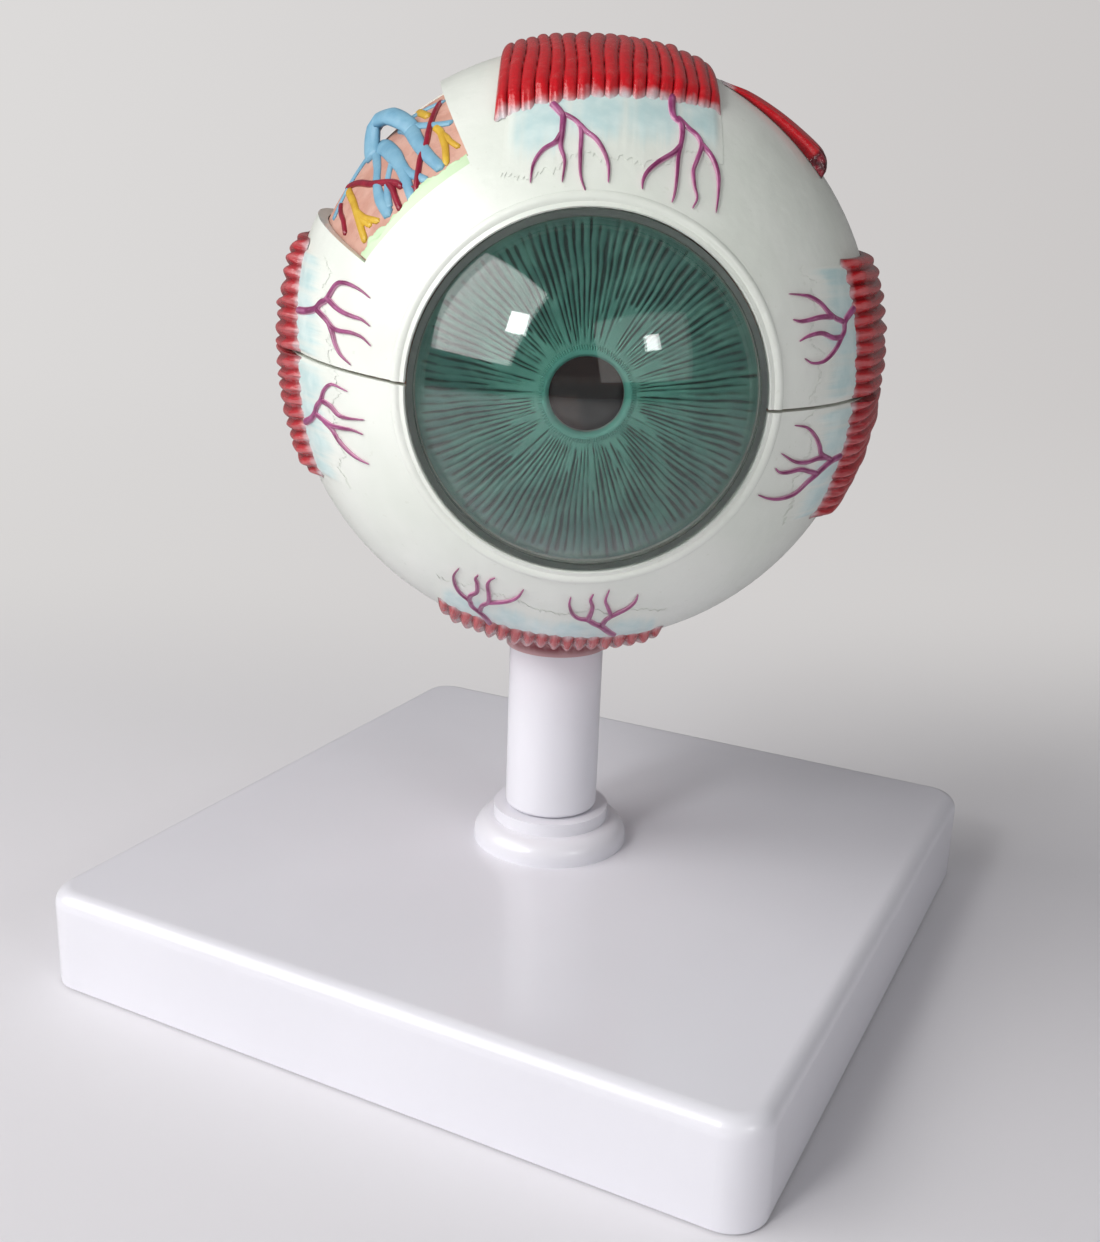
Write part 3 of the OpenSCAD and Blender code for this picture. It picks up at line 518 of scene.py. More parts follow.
# the third colour of each relief paint is darker than its two tones: painted shade at the foot of the
# relief
ARTERY = relief_paint("artery_paint", "86122C", "9C1A34", "7A1028")
VEIN = relief_paint("vein_paint", "6FA3BF", "80B0C8", "6096B4", 0.5)
NERVE = relief_paint("nerve_paint", "C99C24", "D9B234", "B98A20", 0.5)
VESSEL = vessel_paint()
RED = muscle_paint("muscle_red", "78040E", "C4121E", "C4605E", 0.0)
RIBBED = muscle_paint("muscle_ribbed", "86060F", "B4101A", "C4686A", 0.7)
PINK = muscle_paint("muscle_pink", "8C161F", "B42C34", "C47274", 0.5)
TENDON = tendon_paint()
IRIS = iris_paint()
CORNEA = clear_cornea()
# the lens is tinted warm brown so that the pupil looks dark: painted shade, as the lens itself is clear
# plastic
LENS = clear_plastic("clear_lens", "C4A49A", 1.42, 0.04, 0.1)
VITREOUS = clear_plastic("clear_vitreous", "EAEFF2", 1.36, 0.03, 0.1)
# its third colour is darker: painted shade along the foot and torn edge of the strip
MEMBRANE = relief_paint("membrane_paint", "C3E0B4", "D2EAC4", "AFCF9E", 0.5)

NODE_FINISHES = {
    WHITE: ("base_shell", "collar", "pole"),
    black_rubber(): ("foot_pads",),
    plated_steel(): ("collar_washer", "collar_screw"),
    SCLERA: ("lower_sclera", "upper_sclera"),
    LINING: ("lower_choroid", "upper_choroid"),
    nerve_sheath_paint(): ("nerve_sheath",),
    NERVE: ("optic_nerve",),
    ARTERY: ("central_vessels",),
    dark_paint("ciliary_paint", "3A211D", "55332C"): ("ciliary_body",),
    dark_paint("iris_dark", "7F8B84", "98A39B"): ("iris_plate",),
}


def dress_nodes():
    for finish, names in NODE_FINISHES.items():
        for name in names:
            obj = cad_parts[name]
            obj.data.materials.clear()
            obj.data.materials.append(finish.material)


# ---------- muscles and tendons ----------

ROUND_THE_GAZE = {"top": 0, "nasal": 90, "bottom": 180, "temporal": -90}
BACK_END = 112.0


def lobe(f, shape):
    """Height across one roll of fibres, (1 - |2f - 1|^k)^m: round on top with a sharp groove at
    each side for a small m, and a narrow crest between wide hollows for a large one."""
    return (1 - np.abs(2 * f - 1) ** shape[0]) ** shape[1]


ROUND_ROLL = (2.4, 0.55)
NARROW_ROLL = (1.7, 1.15)


def muscle(name, body, slot, finish, side, front, sides, rolls, thick, ridge=1.1, seed=1,
           back=BACK_END, free=(True, True), shape=ROUND_ROLL, slant=0.0, tip=1.0, spread=None,
           cut=1.2):
    """Belly of ribbed fibres wrapped on the globe. Rolls run back along it, each with its own
    height, drift and front tooth; thick is the belly under them in mm. free tells which long
    edges round down to the shell, and the others are cut flat at the seam. slant shifts the rolls
    across on their way back, spread gives the sides at the back, tip is the share of the
    thickness at the front, and cut the length in mm of the cut face at the back."""
    rng = np.random.default_rng(seed)
    u = np.linspace(0, 1, rolls * 14 + 1)[:, None]
    v = np.linspace(0, 1, 110)[None, :] ** 1.6
    wander = 0.2 * np.sin(2 * np.pi * (1.3 * v + 2.2 * u + seed)) * smooth_step(v, 0.0, 0.4)
    s = (u + slant * v) * rolls * 0.9999 + wander * (1 - (2 * u - 1) ** 6) + 2
    index = np.floor(s).astype(int)
    roll = lobe(s - index, shape)
    ranges = ((0.75, 1.1), (0.2, 1.1), (0, 1))
    size, tooth, phase = (rng.uniform(a, b, 2 * rolls + 8)[index] for a, b in ranges)
    spread = spread or sides
    left, right = (a + (b - a) * v for a, b in zip(sides, spread))
    across = left + (right - left) * u
    edge = front[0] + (front[1] - front[0]) * u
    ragged = (tooth * roll + 0.35 * waves(u, seed, 5, 9.0))[:, :1]
    edge = edge - ragged
    along = edge + (back - edge) * v
    run = np.radians(along - edge) * GLOBE_R / MM
    to_cut = np.radians(back - along) * GLOBE_R / MM
    nose = smooth_step(run, 0, 7) ** 0.65
    tail = np.sqrt(1 - (1 - np.clip(to_cut / cut, 0, 1)) ** 2)
    w = 2 * u - 1
    w = np.where((w < 0) & (not free[0]) | (w > 0) & (not free[1]), 0, np.abs(w))
    rolled = roll * size * (1 + 0.1 * np.sin(2 * np.pi * (2.3 * v + phase)))
    height = nose * tail * np.sqrt(1 - w**10) * (tip + (1 - tip) * v) * (thick + ridge * rolled)
    direction = strip_dir(along, across, turn_about(1, side) if np.isscalar(side) else side)
    outer = in_eye(direction * (PAINT_R + 0.1 * MM + height * MM)[..., None])
    inner = in_eye(direction * (PAINT_R + 0.05 * MM))
    points, faces = closed_sheet(outer, inner)
    values = {"roll": roll, "front": run, "cut": 1 - smooth_step(to_cut, 0.9 * cut, 1.1 * cut)}
    marks = {k: np.concatenate([x.ravel()] * 2) for k, x in values.items()}
    return piece(name, body, finish, points, faces, [name], marks)


def tendon(name, body, side, front, sides, length=15.0, seed=1):
    """Thin painted sheet from under the muscle's front edge forward, streaked by the brush.
    Its thickness and its colour both run out towards the free edges."""
    rng = np.random.default_rng(seed)
    u = np.linspace(0, 1, 121)[:, None]
    v = np.linspace(0, 1, 48)[None, :]
    reach = length * (1 - 0.12 * waves(u, seed, 5, 2.0) - 0.1 * rng.random(u.shape))
    edge = front[0] + (front[1] - front[0]) * u + 2.0
    along = edge - (reach + 2.0) * v
    across = sides[0] + (sides[1] - sides[0]) * u
    strokes = 0.75 + 0.25 * waves(u, seed + 5, 7, 4.0) * np.ones_like(v)
    sidewise = smooth_step(np.minimum(u, 1 - u), 0.0, 0.05)
    cover = (1 - smooth_step(v, 0.45, 1.0)) * sidewise * strokes
    full = (1 - smooth_step(v, 0.2, 1.0)) * sidewise
    direction = strip_dir(along, across, turn_about(1, side))
    outer = in_eye(direction * (PAINT_R + 0.02 * MM + 0.35 * MM * full)[..., None])
    inner = in_eye(direction * (PAINT_R - 0.03 * MM))
    points, faces = closed_sheet(outer, inner)
    marks = {"cover": np.concatenate([cover.ravel()] * 2)}
    return piece(name, body, TENDON, points, faces, [name], marks)


SEAM_A = 0.4  # degrees from the seam to the cut edge of a side muscle


def muscles():
    t = ROUND_THE_GAZE
    red, ribbed, pink = ("muscle_paint", RED), ("muscle_paint", RIBBED), ("muscle_pink", PINK)
    lower, upper = {"free": (False, True)}, {"free": (True, False)}
    narrow = {"shape": NARROW_ROLL, "ridge": 1.3}
    muscle("superior_rectus", "upper_eye", *red, t["top"], (51.5, 59), (-19, 20), 17, 1.5, seed=3)
    muscle("inferior_rectus", "lower_eye", *pink, t["bottom"], (60.2, 57), (-20, 25), 18, 1.3,
           seed=5, **narrow)
    muscle("upper_lateral_rectus", "upper_eye", *pink, t["temporal"], (63.5, 73.5), (SEAM_A, 20), 8,
           1.8, seed=7, slant=0.3, **lower, **narrow)
    muscle("lower_lateral_rectus", "lower_eye", *pink, t["temporal"], (64.5, 63.5), (-24, -SEAM_A), 10,
           1.6, seed=8, slant=0.25, **upper, **narrow)
    muscle("upper_medial_rectus", "upper_eye", *ribbed, t["nasal"], (56, 57.5), (-25, -SEAM_A), 10,
           1.8, seed=9, **upper, **narrow)
    muscle("lower_medial_rectus", "lower_eye", *pink, t["nasal"], (57.5, 58.5), (SEAM_A, 24), 11,
           1.8, seed=11, slant=0.35, **lower, **narrow)


def tendons():
    t = ROUND_THE_GAZE
    tendon("superior_rectus_tendon", "upper_eye", t["top"], (52, 59.5), (-17, 20), seed=1)
    tendon("inferior_rectus_tendon", "lower_eye", t["bottom"], (60.5, 57.5), (-19, 25), seed=2)
    tendon("upper_lateral_tendon", "upper_eye", t["temporal"], (64, 73), (SEAM_A, 18), seed=3)
    tendon("lower_lateral_tendon", "lower_eye", t["temporal"], (65, 64), (-23, -SEAM_A), seed=4)
    tendon("upper_medial_tendon", "upper_eye", t["nasal"], (56.5, 58), (-24, -SEAM_A), seed=5)
    tendon("lower_medial_tendon", "lower_eye", t["nasal"], (58, 59), (SEAM_A, 23), seed=6)


def obliques():
    """Stumps of the oblique muscles that cross the globe sideways to a pebbled cut end."""
    side = turn_about(1, 34) @ turn_about(0, 10) @ turn_about(2, -90)
    muscle("superior_oblique", "upper_eye", "muscle_paint", RED, side, (79, 79), (-2.5, 2.5), 5,
           3.0, 0.5, 21, back=103, spread=(-7, 7), tip=0.12, cut=5.0)
    side = turn_about(1, -132) @ turn_about(0, -38) @ turn_about(2, 78)
    muscle("inferior_oblique", "lower_eye", "muscle_pink", PINK, side, (78, 78), (-6, 6), 6,
           2.6, 0.7, 22, back=105, cut=3.5)


# ---------- vessels ----------

TRUNK = np.array([2.0, 1.6, 1.3, 0.9, 0.3]) * MM
TWIG = np.array([1.35, 1.15, 0.9, 0.3]) * MM

# routes in degrees off the gaze and round it; the first of each tree comes out of a muscle
UPPER_TREES = [
    [(54, -11.5), (51.3, -9.9), (50, -9.5), (46.2, -10.2), (43.7, -10.7), (40.6, -10.2), (36.7, -11.5)],
    [(46.6, -10.2), (44.8, -11.9), (43.7, -14.9), (41.3, -17.8), (37.8, -19.8)],
    [(51.3, -9.9), (49.9, -7.7), (48.4, -6.2), (46.4, -5.8), (41.4, -6.3), (37.6, -6.4), (34.6, -5.2)],
    [(48.4, -6.2), (46.7, -4.7), (45.1, -2.5), (42.4, -0.5), (39.6, 0.7), (36.5, 0.9)],
    [(60, 12.6), (56, 13), (53.6, 13.9), (52.5, 15.7), (49.6, 16.5), (45.1, 16.9), (38.4, 18.7),
     (36, 18.9)],
    [(47.8, 16.8), (45.4, 15.5), (42.6, 12.7), (40.1, 10.6), (38.1, 9.9), (36.5, 10.2)],
    [(54.3, 14.2), (52.5, 17.1), (51.5, 19.6), (49.7, 21.1), (46.4, 21.2), (43.6, 21.3), (41, 22.9),
     (39.1, 24.7), (36.8, 24.7)],
    [(50.2, 20.8), (48.6, 24), (46.4, 26.5), (43.8, 28.2), (38.6, 30.9)],
    [(59, 70.8), (55.9, 71.5), (53.8, 72.4), (53.1, 74.2), (51.9, 75.2), (50.1, 76.8), (47.8, 78.2),
     (45.2, 79), (42.3, 78.4), (40.4, 76.6)],
    [(53.8, 72.4), (51.1, 70.7), (49.2, 68.6), (47.5, 65.7), (45.3, 63.1), (43.4, 61.6), (40.4, 59.4)],
    [(50.6, 70.2), (46.5, 68.7), (43, 67.9), (40.9, 67.1), (39.4, 65.8)],
    [(51.9, 75.2), (49.1, 74.4), (46.1, 72.4), (43.5, 71.7), (41.5, 71.6), (39.7, 71.9)],
    [(67.5, -82), (62.4, -81), (58.4, -79.5), (56.8, -77.7), (55.1, -76.4), (53.5, -72.7), (51.5, -71.4),
     (48.7, -70.8), (45.9, -70.7), (43.3, -71.1)],
    [(55.1, -76.2), (52.1, -76.9), (49.5, -77.2), (46.2, -77), (43.7, -76.7), (41.3, -77.3)],
    [(58.6, -79.4), (54.3, -80.3), (51.3, -81.4), (48.9, -81.4), (45.7, -80.7), (42.7, -80.7),
     (40.1, -82)],
    [(52.6, -80.8), (50.9, -82.7), (49.7, -84.6), (47.7, -86.6), (44.6, -88.2)],
]
LOWER_TREES = [
    [(59, 102.1), (54.7, 103.1), (51.8, 105.3), (50.6, 106.7), (48.6, 108.9), (46.5, 112.3), (43, 114.6),
     (39.7, 115.6), (36.7, 115.7)],
    [(54.5, 102.9), (49.7, 101.6), (47.8, 99.4), (45.5, 97.1), (42.4, 94.9), (38.7, 94.2)],
    [(52.6, 102.4), (48.8, 102.7), (45.4, 103.9), (41.6, 104), (37.3, 102.3)],
    [(51.4, 106.4), (48.2, 106.1), (44.5, 105.9), (41.3, 107.2), (39.1, 107.7), (37.4, 106.8)],
    [(64.8, -104), (60.3, -102.7), (57.9, -101.2), (56.5, -99.5), (54.6, -98), (53.2, -95.8),
     (51.4, -94.3),
     (49.5, -93.9), (45.4, -94.8)],
    [(54.7, -98), (51.4, -99), (49.3, -100.7), (46.6, -101.3), (41.7, -101.4)],
    [(58.1, -101.2), (54.8, -102.5), (52, -103.5), (48.4, -103.9), (45.7, -104.2), (42.9, -105.3)],
    [(55, -102.4), (52.3, -104.4), (50.8, -107.1), (48.2, -110), (46.1, -111.7), (43.9, -113.1)],
    [(61, -164.3), (56.7, -161.9), (54.9, -160), (53.5, -157.8), (51.5, -156.4), (50.4, -153.6),
     (48.1, -151),
     (45.4, -149.3), (42.1, -148.9)],
    [(51.7, -156.4), (49, -156), (46.6, -156.6), (43.7, -155.3), (42.4, -154.1), (40.8, -154.1)],
    [(54.4, -160.1), (51.1, -159.8), (48.5, -160.5), (45.2, -159.3), (42.5, -157.8), (40.6, -157.6),
     (39.2, -158.4)],
    [(48.8, -160.4), (46.7, -163), (44.9, -165), (42.5, -166.5), (39.4, -167.1)],
    [(59, 168.2), (52.2, 171), (50, 172.9), (48, 174.6), (47.4, 176.7), (45.7, 178.4), (42.1, 179.6),
     (39.2, 179.5)],
    [(48.2, 174.5), (45.3, 173.8), (42.6, 173.4), (40.2, 173.9), (38.2, 173.1)],
    [(51.9, 171.2), (48.7, 170.1), (47, 168.8), (43.7, 169.3), (40.6, 169.8), (37.2, 168.4)],
    [(47.2, 168.9), (46, 166.7), (44.9, 164.4), (42.9, 162), (40.5, 160.7)],
]
TRUNK_STARTS = (54, 60, 59, 67.5, 64.8, 61)  # degrees off the gaze at which a trunk starts
SEAT_OF_VESSELS = 72.25 * MM


def ciliary_vessels(name, body, routes):
    """Four trees of raised vessels: each route is a tube that tapers to a hair at its end."""
    parts = []
    for route in routes:
        width = TRUNK if route[0][0] in TRUNK_STARTS else TWIG
        parts.append(relief(route, width, 0.5 * width, SEAT_OF_VESSELS))
    points, faces, marks = joined(parts)
    return piece(name, body, VESSEL, points, faces, [name], marks)


RETINA_ROUTES = [
    [(156, 60), (148, 42), (132, 22), (110, 5)],
    [(150, 55), (138, 48), (118, 42), (95, 45)],
    [(154, 50), (144, 10), (126, -25), (105, -40)],
    [(148, 20), (138, -15), (120, -52), (100, -72)],
]


def retina_vessels(name, body, upper):
    """Central vessels that spread over the inside of the lining from the optic disc."""
    turned = [[(th, ph if upper else 180 - ph) for th, ph in r] for r in RETINA_ROUTES]
    width = (2 * MM, 1.4 * MM, 0.8 * MM)
    parts = [relief(r, width, [0.3 * w for w in width], RETINA_R) for r in turned]
    points, faces, marks = joined(parts)
    return piece(name, body, ARTERY, points, faces, [name], marks)


# ---------- choroid window ----------

VEIN_ARCH = [(76, -50), (79.5, -48.6), (82, -46.6), (82, -44.6), (78.5, -42.3), (74, -40.6), (71, -40)]
ARCH_SEAT = [69.2, 70.6, 72.6, 73.2, 72.6, 70.4, 69.2]
VEIN_BRANCHES = [
    ([(77, -41.6), (79.8, -40.2), (78.5, -37.4), (76.5, -34.1), (75, -32)], (3.0, 2.4, 2.0, 1.8)),
    ([(76, -41), (73, -39.8), (69.6, -38), (65.4, -34.9), (62.9, -32)], (3.2, 2.4, 2.0, 2.0)),
    ([(77, -41.5), (72, -40.4), (66.1, -40.2), (61.1, -40), (56.6, -39.4), (51.8, -38.3)],
     (4.4, 3.8, 3.4, 3.0, 2.6)),
    ([(80, -47.8), (74.6, -46.6), (66.3, -45.7), (61.2, -45.6), (57.4, -44.9), (51.8, -42.4)],
     (4.6, 4.2, 4.0, 3.2, 2.2, 1.8)),
    ([(64, -45.6), (61, -45.7), (57.8, -46.1), (54.7, -46.7), (50.9, -47.7)], (3.4, 3.0, 2.6, 2.2)),
    ([(69, -45.9), (66.6, -46.2), (63.6, -48), (60.7, -49.9), (57.3, -51.6), (54, -53.2)],
     (2.4, 1.8, 1.8, 2.4)),
    ([(82, -48.6), (78.6, -48.6), (69.4, -49.8), (64.1, -51.7), (58.8, -53.2), (52.6, -54)],
     (3.6, 2.8, 2.4, 2.4, 3.0, 2.8)),
    ([(82, -49.5), (81, -52), (78.5, -56), (75.7, -60.5), (73.6, -64)], (3.4, 2.6, 2.0, 2.0)),
]
ARTERY_ROUTES = [
    ([(77.5, -32.4), (69.4, -35.5), (64.7, -37.4), (61.5, -38.8), (58.7, -41.2), (56.2, -42.8),
      (51.2, -46.3)], 1.7),
    ([(80, -58.2), (71.8, -54.9), (66, -53), (62.7, -51.1), (59.8, -49.3), (58, -48.4),
      (55.4, -47.8)], 1.8),
    ([(60.4, -49.8), (57.5, -49.8), (55.4, -50.3), (51, -51.3)], 1.7),
    ([(55.4, -47.6), (53.7, -46.3), (51.9, -45)], 1.0),
    ([(74.8, -60.6), (70.6, -61.7), (66.7, -62.3), (62.5, -63.9)], 1.5),
]
NERVE_ROUTES = [
    ([(65.4, -35.7), (62.4, -35.1), (59.9, -35.2), (56.6, -35.6), (52, -37.1)], 1.9),
    ([(61.6, -35), (59.6, -34.4), (57.5, -34), (54.4, -32.8)], 1.5),
    ([(81, -37.8), (76, -37), (71.5, -36)], 2.2),
    ([(76.5, -57.7), (71, -57.9), (67, -58.2), (62, -59.3), (58, -60.6), (54.4, -62)], 2.1),
    ([(63.5, -58.8), (61, -58.6), (58.8, -58.2), (54.2, -56.5)], 1.7),
    ([(61, -59), (58.6, -59), (55.6, -58.4)], 1.6),
]


def window_vessels():
    """Vortex vein that arches out of the lining with its branches, arteries and nerves below it."""
    seat = LINING_R
    arch = relief(VEIN_ARCH, np.array([4.2, 5.2, 5.8, 5.6, 5.0, 4.4, 3.8]) * MM,
                  np.array([0.9, 1.3, 1.6, 1.6, 1.4, 1.1, 0.8]) * MM, np.array(ARCH_SEAT) * MM,
                  sides=24, steps=12)
    arms = [relief(r, np.array(w) * MM, np.array(w) * 0.24 * MM, seat, sides=16)
            for r, w in VEIN_BRANCHES]
    points, faces, marks = joined([arch, *arms])
    piece("vortex_vein", "upper_eye", VEIN, points, faces, ["vortex_vein"], marks)
    for name, slot, finish, routes, flat in (
        ("choroid_arteries", "artery_paint", ARTERY, ARTERY_ROUTES, 0.42),
        ("ciliary_nerves", "nerve_paint", NERVE, NERVE_ROUTES, 0.3),
    ):
        parts = [relief(r, [w * MM, 0.9 * w * MM], [flat * w * MM] * 2, seat, round_off=0.06)
                 for r, w in routes]
        points, faces, marks = joined(parts)
        piece(name, "upper_eye", finish, points, faces, [name], marks)


def membrane():
    """Pale strip along the front edge of the window, torn along its inner side."""
    ph = np.linspace(WINDOW_LOW, WINDOW_HIGH, 140)[:, None]
    v = np.linspace(0, 1, 14)[None, :]
    torn = 51.4 + 1.9 * smooth_step(-ph, 52, 62) + 0.55 * waves(ph / 33, 4, 6, 2.0)
    torn = torn + 0.25 * waves(ph / 33, 9, 5, 9.0)
    front = 48.9
    th = front + (torn - front) * v
    angles = np.stack(np.broadcast_arrays(th, ph), -1)
    roll = np.sqrt(1 - smooth_step(v, 0.75, 1.0) ** 2 * 0.9)
    height = (0.95 + 0.12 * waves(ph / 33 + 0.3 * v, 6, 4, 3.0)) * roll * MM
    outer = in_eye(globe_dir(angles) * (LINING_R + height)[..., None])
    inner = in_eye(globe_dir(angles) * (LINING_R - 0.3 * MM))
    points, faces = closed_sheet(outer, inner)
    rise = np.concatenate([(height / MM - 0.5).ravel(), np.zeros(height.size)])
    piece("choroid_membrane", "upper_eye", MEMBRANE, points, faces,
          ["choroid_membrane"], {"rise": rise})


# ---------- iris and clear pieces ----------

IRIS_GROOVES = 118


def iris():
    """Disc of radial folds. Height = smooth swell - groove depth, where each groove has its own
    start, end, depth and drift; the ring round the pupil is smooth with a scalloped outside."""
    rng = np.random.default_rng(12)
    a = np.linspace(0, 1, IRIS_GROOVES * 10, endpoint=False)[None, :]
    r = np.concatenate([np.linspace(8.0, 12.0, 22), np.linspace(12.4, 35.4, 62)])[:, None]
    index = (a * IRIS_GROOVES).astype(int)
    f = a * IRIS_GROOVES - index
    start = rng.choice([10.2, 10.8, 12.6, 16.0, 19.5], IRIS_GROOVES, p=[0.4, 0.3, 0.12, 0.1, 0.08])
    end = rng.uniform(34.6, 36.6, IRIS_GROOVES)
    depth = rng.uniform(0.6, 1.0, IRIS_GROOVES)
    width = rng.uniform(0.2, 0.4, IRIS_GROOVES)
    opened = smooth_step(r, start[index], start[index] + 1.8)
    reach = opened * (1 - smooth_step(r, end[index] - 2, end[index]))
    groove = np.exp(-(((f - 0.5) / width[index]) ** 2)) * depth[index] * reach
    groove = np.clip(groove * (1 + 0.25 * waves(r / 20 + a * 9, 3, 4, 1.5)), 0, 1)
    scallop = 10.1 + 0.4 * np.cos(2 * np.pi * a * IRIS_GROOVES) + 0.2 * waves(a, 8, 6, 3.0)
    ring = 1 - smooth_step(r, scallop - 0.5, scallop + 0.3)
    bead = np.sqrt(np.clip(1 - ((r - 9.3) / 1.35) ** 2, 0, 1)) * 1.1
    swell = 0.75 + 0.25 * smooth_step(r, 11, 20) - 0.35 * smooth_step(r, 33.5, 35.4)
    height = swell - 0.62 * groove + (bead - 0.45) * ring
    height = np.where(r < 8.4, np.minimum(height, 0.15 + 2.0 * (r - 8.0)), height)
    drift = 0.0009 * waves(r / 24 + 0 * a, 5, 3, 1.0) + 0.0006 * waves(a * 5 + r / 60, 6, 3, 1.0)
    angle = 2 * np.pi * (a + drift)
    x, z = r * np.cos(angle), r * np.sin(angle)
    outer = np.stack(np.broadcast_arrays(x * MM, -(IRIS_FRONT + height * MM), z * MM), -1)
    inner = np.stack(np.broadcast_arrays(x * MM, -(IRIS_FRONT + 0 * height), z * MM), -1)
    points, faces = closed_sheet(in_eye(outer), in_eye(inner), wrap=True)
    marks = {
        "groove": np.concatenate([groove.ravel()] * 2),
        "ring": np.concatenate([(ring * np.ones_like(groove)).ravel()] * 2),
        "inner": np.concatenate([(1 - smooth_step(r, 11, 27) * np.ones_like(groove)).ravel()] * 2),
    }
    piece("iris_folds", "iris_unit", IRIS, points, faces, ["iris", "pupil_ring"], marks)


def cornea():
    """Clear dome on a stepped rim: outer arc, ledge, rim wall, foot, and the inner arc back."""
    curve, wall, plug, foot = 46 * MM, 2.4 * MM, 38 * MM, 35.6 * MM
    dome = 36.8 * MM
    middle = CORNEA_RIM - np.sqrt(curve**2 - dome**2)
    top = np.degrees(np.arcsin(dome / curve))
    low = np.degrees(np.arcsin(foot / (curve - wall)))
    profile = np.vstack([
        arc(middle, curve, 0, top, 72),
        [(dome + 0.15 * MM, CORNEA_RIM - 0.05 * MM), (plug - 0.3 * MM, CORNEA_RIM - 0.05 * MM)],
        [(plug - 0.08 * MM, CORNEA_RIM - 0.12 * MM), (plug, CORNEA_RIM - 0.35 * MM)],
        [(plug, CORNEA_BACK), (foot, CORNEA_BACK)],
        arc(middle, curve - wall, low, 0, 72),
    ])
    points, faces = lathe(profile)
    rim = (np.arange(len(profile)) > 70) & (np.arange(len(profile)) < 78)
    frost = np.repeat(rim.astype(float), len(points) // len(profile))
    piece("clear_dome", "cornea_unit", CORNEA, points, faces, ["cornea"],
          {"frost": frost}, crease=28, weld=True)


def lens():
    """Biconvex lens with a straight rim band: front arc, and back arc behind the band."""
    low = LENS_EDGE - LENS_BAND
    front_angle = np.degrees(np.arcsin(LENS_R / LENS_FRONT_R))
    back_angle = np.degrees(np.arcsin(LENS_R / LENS_BACK_R))
    profile = np.vstack([
        arc(LENS_TOP - LENS_FRONT_R, LENS_FRONT_R, 0, front_angle, 40),
        arc(low + np.sqrt(LENS_BACK_R**2 - LENS_R**2), -LENS_BACK_R, -back_angle, 0, 48),
    ])
    points, faces = lathe(profile)
    piece("clear_lens", "lens_unit", LENS, points, faces, ["lens"], crease=28,
          weld=True)


def vitreous():
    """Hollow clear ball with a flat front and a dish for the lens: an outer and an inner skin."""
    r, flat, wall, dish = 65.3 * MM, 49.5 * MM, 2.5 * MM, 27.3 * MM
    back = LENS_BACK_R + 0.3 * MM
    middle = LENS_EDGE - LENS_BAND + np.sqrt(LENS_BACK_R**2 - LENS_R**2)
    bowl = np.degrees(np.arcsin(dish / back))
    rim = np.degrees(np.arccos(flat / r))
    outside = np.vstack([
        arc(middle, -back, 0.0, -bowl, 40),
        [(dish, flat)],
        arc(0.0, r, rim, 180, 120),
    ])
    skin_r, skin_flat = r - wall, flat - wall
    hollow, skin_back = dish + wall, back + wall
    inside = np.vstack([
        arc(0.0, skin_r, 180, np.degrees(np.arccos(skin_flat / skin_r)), 120),
        [(hollow, skin_flat)],
        arc(middle, -skin_back, -np.degrees(np.arcsin(hollow / skin_back)), 0.0, 40),
    ])
    shell_points, shell_faces = lathe(outside, 192)
    core_points, core_faces = lathe(inside, 192)
    shell_faces = outward(shell_points - EYE_MID, shell_faces)
    core_faces = [f[::-1] for f in outward(core_points - EYE_MID, core_faces)]
    faces = shell_faces + [[i + len(shell_points) for i in f] for f in core_faces]
    piece("clear_vitreous", "vitreous", VITREOUS,
          np.vstack([shell_points, core_points]), faces, ["vitreous_body"], crease=28, weld=True)


# ---------- room, light and camera ----------

CAMERA_TURN = 26.75  # degrees from -Y towards +X
CAMERA_FROM = np.array([153.24, -308.40, 190.90]) * MM
CAMERA_TO = np.array([-11.52, 18.55, 81.76]) * MM
CAMERA_ROLL = 0.0352
CAMERA_LENS = 1345.08 / 1242 * 36  # focal length in pixels over the long side


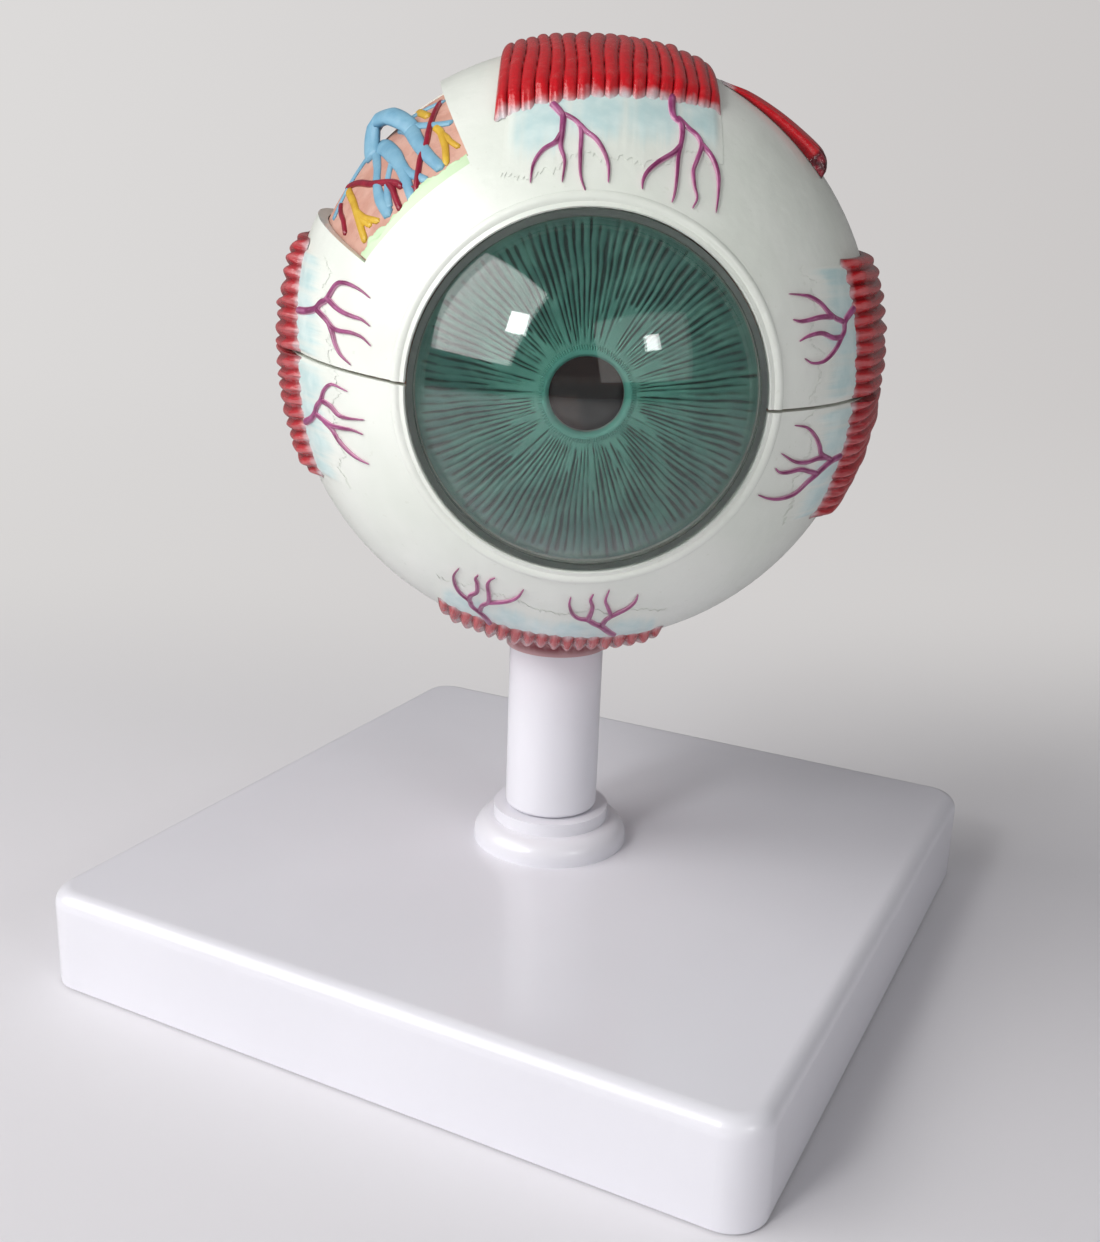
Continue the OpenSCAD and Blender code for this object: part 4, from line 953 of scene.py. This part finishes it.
def floor():
    """Pale sweep: a level floor that bends up into a wall behind the model, across the view.
    Away from the model it glows with its own tone to the camera, darker towards the right as painted
    shade of the light from the left, and a darker grey to glossy rays as a painted reflection."""
    f = Finish("sweep_paper", roughness=0.9, specular_ior_level=0.1)
    f.set(base_color=f.mix(f.noise(0.5), rgb("E4E2E6"), rgb("E7E5E9")))
    rays = {n: f.node("ShaderNodeLightPath", output=n) for n in
            ("Is Camera Ray", "Is Glossy Ray", "Is Transmission Ray")}
    seen = rays["Is Camera Ray"] + rays["Is Glossy Ray"] + rays["Is Transmission Ray"]
    # darker towards the right: painted shade, as the light falls from the left
    tone = f.mix(f.mark("side").step(0.3, 0.7), rgb("DEDCDB"), rgb("C9C6C5"))
    # glossy rays see a darker grey: a painted reflection of the room
    tone = f.mix(rays["Is Glossy Ray"], tone, rgb("6E6B6B"))
    glow = f.node("ShaderNodeEmission", None, {"Color": tone, "Strength": 1.0})
    paper = Value(f, f.shader.outputs[0])
    inputs = {0: f.mark("back").step(0.0, 1.0) * seen, 1: paper, 2: glow}
    mixed = f.node("ShaderNodeMixShader", None, inputs)
    f.tree.links.new(mixed.link, f.tree.nodes["Material Output"].inputs["Surface"])
    bend, far, near, high, half = 0.5, 1.1, -1.6, 2.6, 3.0
    a = np.radians(np.linspace(0, 90, 33))
    level = np.linspace(near, far, 55)
    run = np.concatenate([level, far + bend * np.sin(a[1:]), [far + bend]])
    rise = np.concatenate([0 * level, bend * (1 - np.cos(a[1:])), [high]])
    across = np.linspace(-half, half, 121)
    grid = np.stack(np.broadcast_arrays(across[None, :], run[:, None], rise[:, None]), -1)
    points = grid.reshape(-1, 3) @ turn_about(2, CAMERA_TURN).T
    mesh = bpy.data.meshes.new("sweep")
    mesh.from_pydata(points.tolist(), [], grid_faces(len(run), len(across)).tolist())
    marks = {"back": smooth_step(grid[..., 1], -0.1, 0.45), "side": (grid[..., 0] + half) / (2 * half)}
    for mark, values in marks.items():
        attribute = mesh.attributes.new(mark, "FLOAT", "POINT")
        attribute.data.foreach_set("value", values.ravel().astype(np.float32))
    mesh.polygons.foreach_set("use_smooth", np.ones(len(mesh.polygons), bool))
    mesh.materials.append(f.material)
    obj = bpy.data.objects.new("sweep", mesh)
    bpy.context.scene.collection.objects.link(obj)


def aim(obj, start, target, roll=0.0):
    """Puts an object at start with its -Z towards target, turned about that line by roll."""
    forward = (target - start) / np.linalg.norm(target - start)
    right = np.cross(forward, [0, 0, 1])
    right /= np.linalg.norm(right)
    up = np.cross(right, forward)
    x = right * np.cos(roll) + up * np.sin(roll)
    y = up * np.cos(roll) - right * np.sin(roll)
    m = np.eye(4)
    m[:3, 0], m[:3, 1], m[:3, 2], m[:3, 3] = x, y, -forward, start
    obj.matrix_world = Matrix(m.tolist())


def lamp(name, azimuth, elevation, distance, width, height, watts, colour):
    """Area lamp seen from the globe at an azimuth from -Y towards +X and an elevation."""
    data = bpy.data.lights.new(name, "AREA")
    data.shape = "RECTANGLE"
    data.size, data.size_y = width, height
    data.energy, data.color = watts, colour
    obj = bpy.data.objects.new(name, data)
    bpy.context.scene.collection.objects.link(obj)
    a, e = np.radians(azimuth), np.radians(elevation)
    towards = np.array([np.sin(a) * np.cos(e), -np.cos(a) * np.cos(e), np.sin(e)])
    aim(obj, EYE_MID + towards * distance, EYE_MID)


def light():
    world = bpy.data.worlds.new("room")
    world.use_nodes = True
    background = world.node_tree.nodes["Background"]
    background.inputs["Color"].default_value = (0.94, 0.96, 1.0, 1.0)
    background.inputs["Strength"].default_value = 0.14
    bpy.context.scene.world = world
    lamp("window_left", -40, 31, 1.3, 1.35, 1.05, 15.8, (1.0, 0.99, 0.97))
    lamp("lamp_left", -14, 29, 1.25, 0.22, 0.22, 3.4, (1.0, 1.0, 1.0))
    lamp("window_right", 60, 20, 1.25, 1.2, 0.75, 2.4, (1.0, 0.99, 0.97))
    lamp("lamp_right", 64, 22, 1.2, 0.16, 0.16, 0.9, (1.0, 1.0, 1.0))


def camera():
    data = bpy.data.cameras.new("camera")
    data.sensor_width, data.sensor_fit, data.lens = 36, "AUTO", CAMERA_LENS
    data.clip_start, data.clip_end = 0.01, 20
    obj = bpy.data.objects.new("camera", data)
    bpy.context.scene.collection.objects.link(obj)
    aim(obj, CAMERA_FROM, CAMERA_TO, CAMERA_ROLL)
    bpy.context.scene.camera = obj


camera()
light()
floor()
dress_nodes()
muscles()
tendons()
obliques()
ciliary_vessels("upper_ciliary_vessels", "upper_eye", UPPER_TREES)
ciliary_vessels("lower_ciliary_vessels", "lower_eye", LOWER_TREES)
retina_vessels("upper_retina_vessels", "upper_eye", True)
retina_vessels("lower_retina_vessels", "lower_eye", False)
window_vessels()
membrane()
iris()
cornea()
lens()
vitreous()

bpy.context.scene.view_settings.view_transform = "Standard"
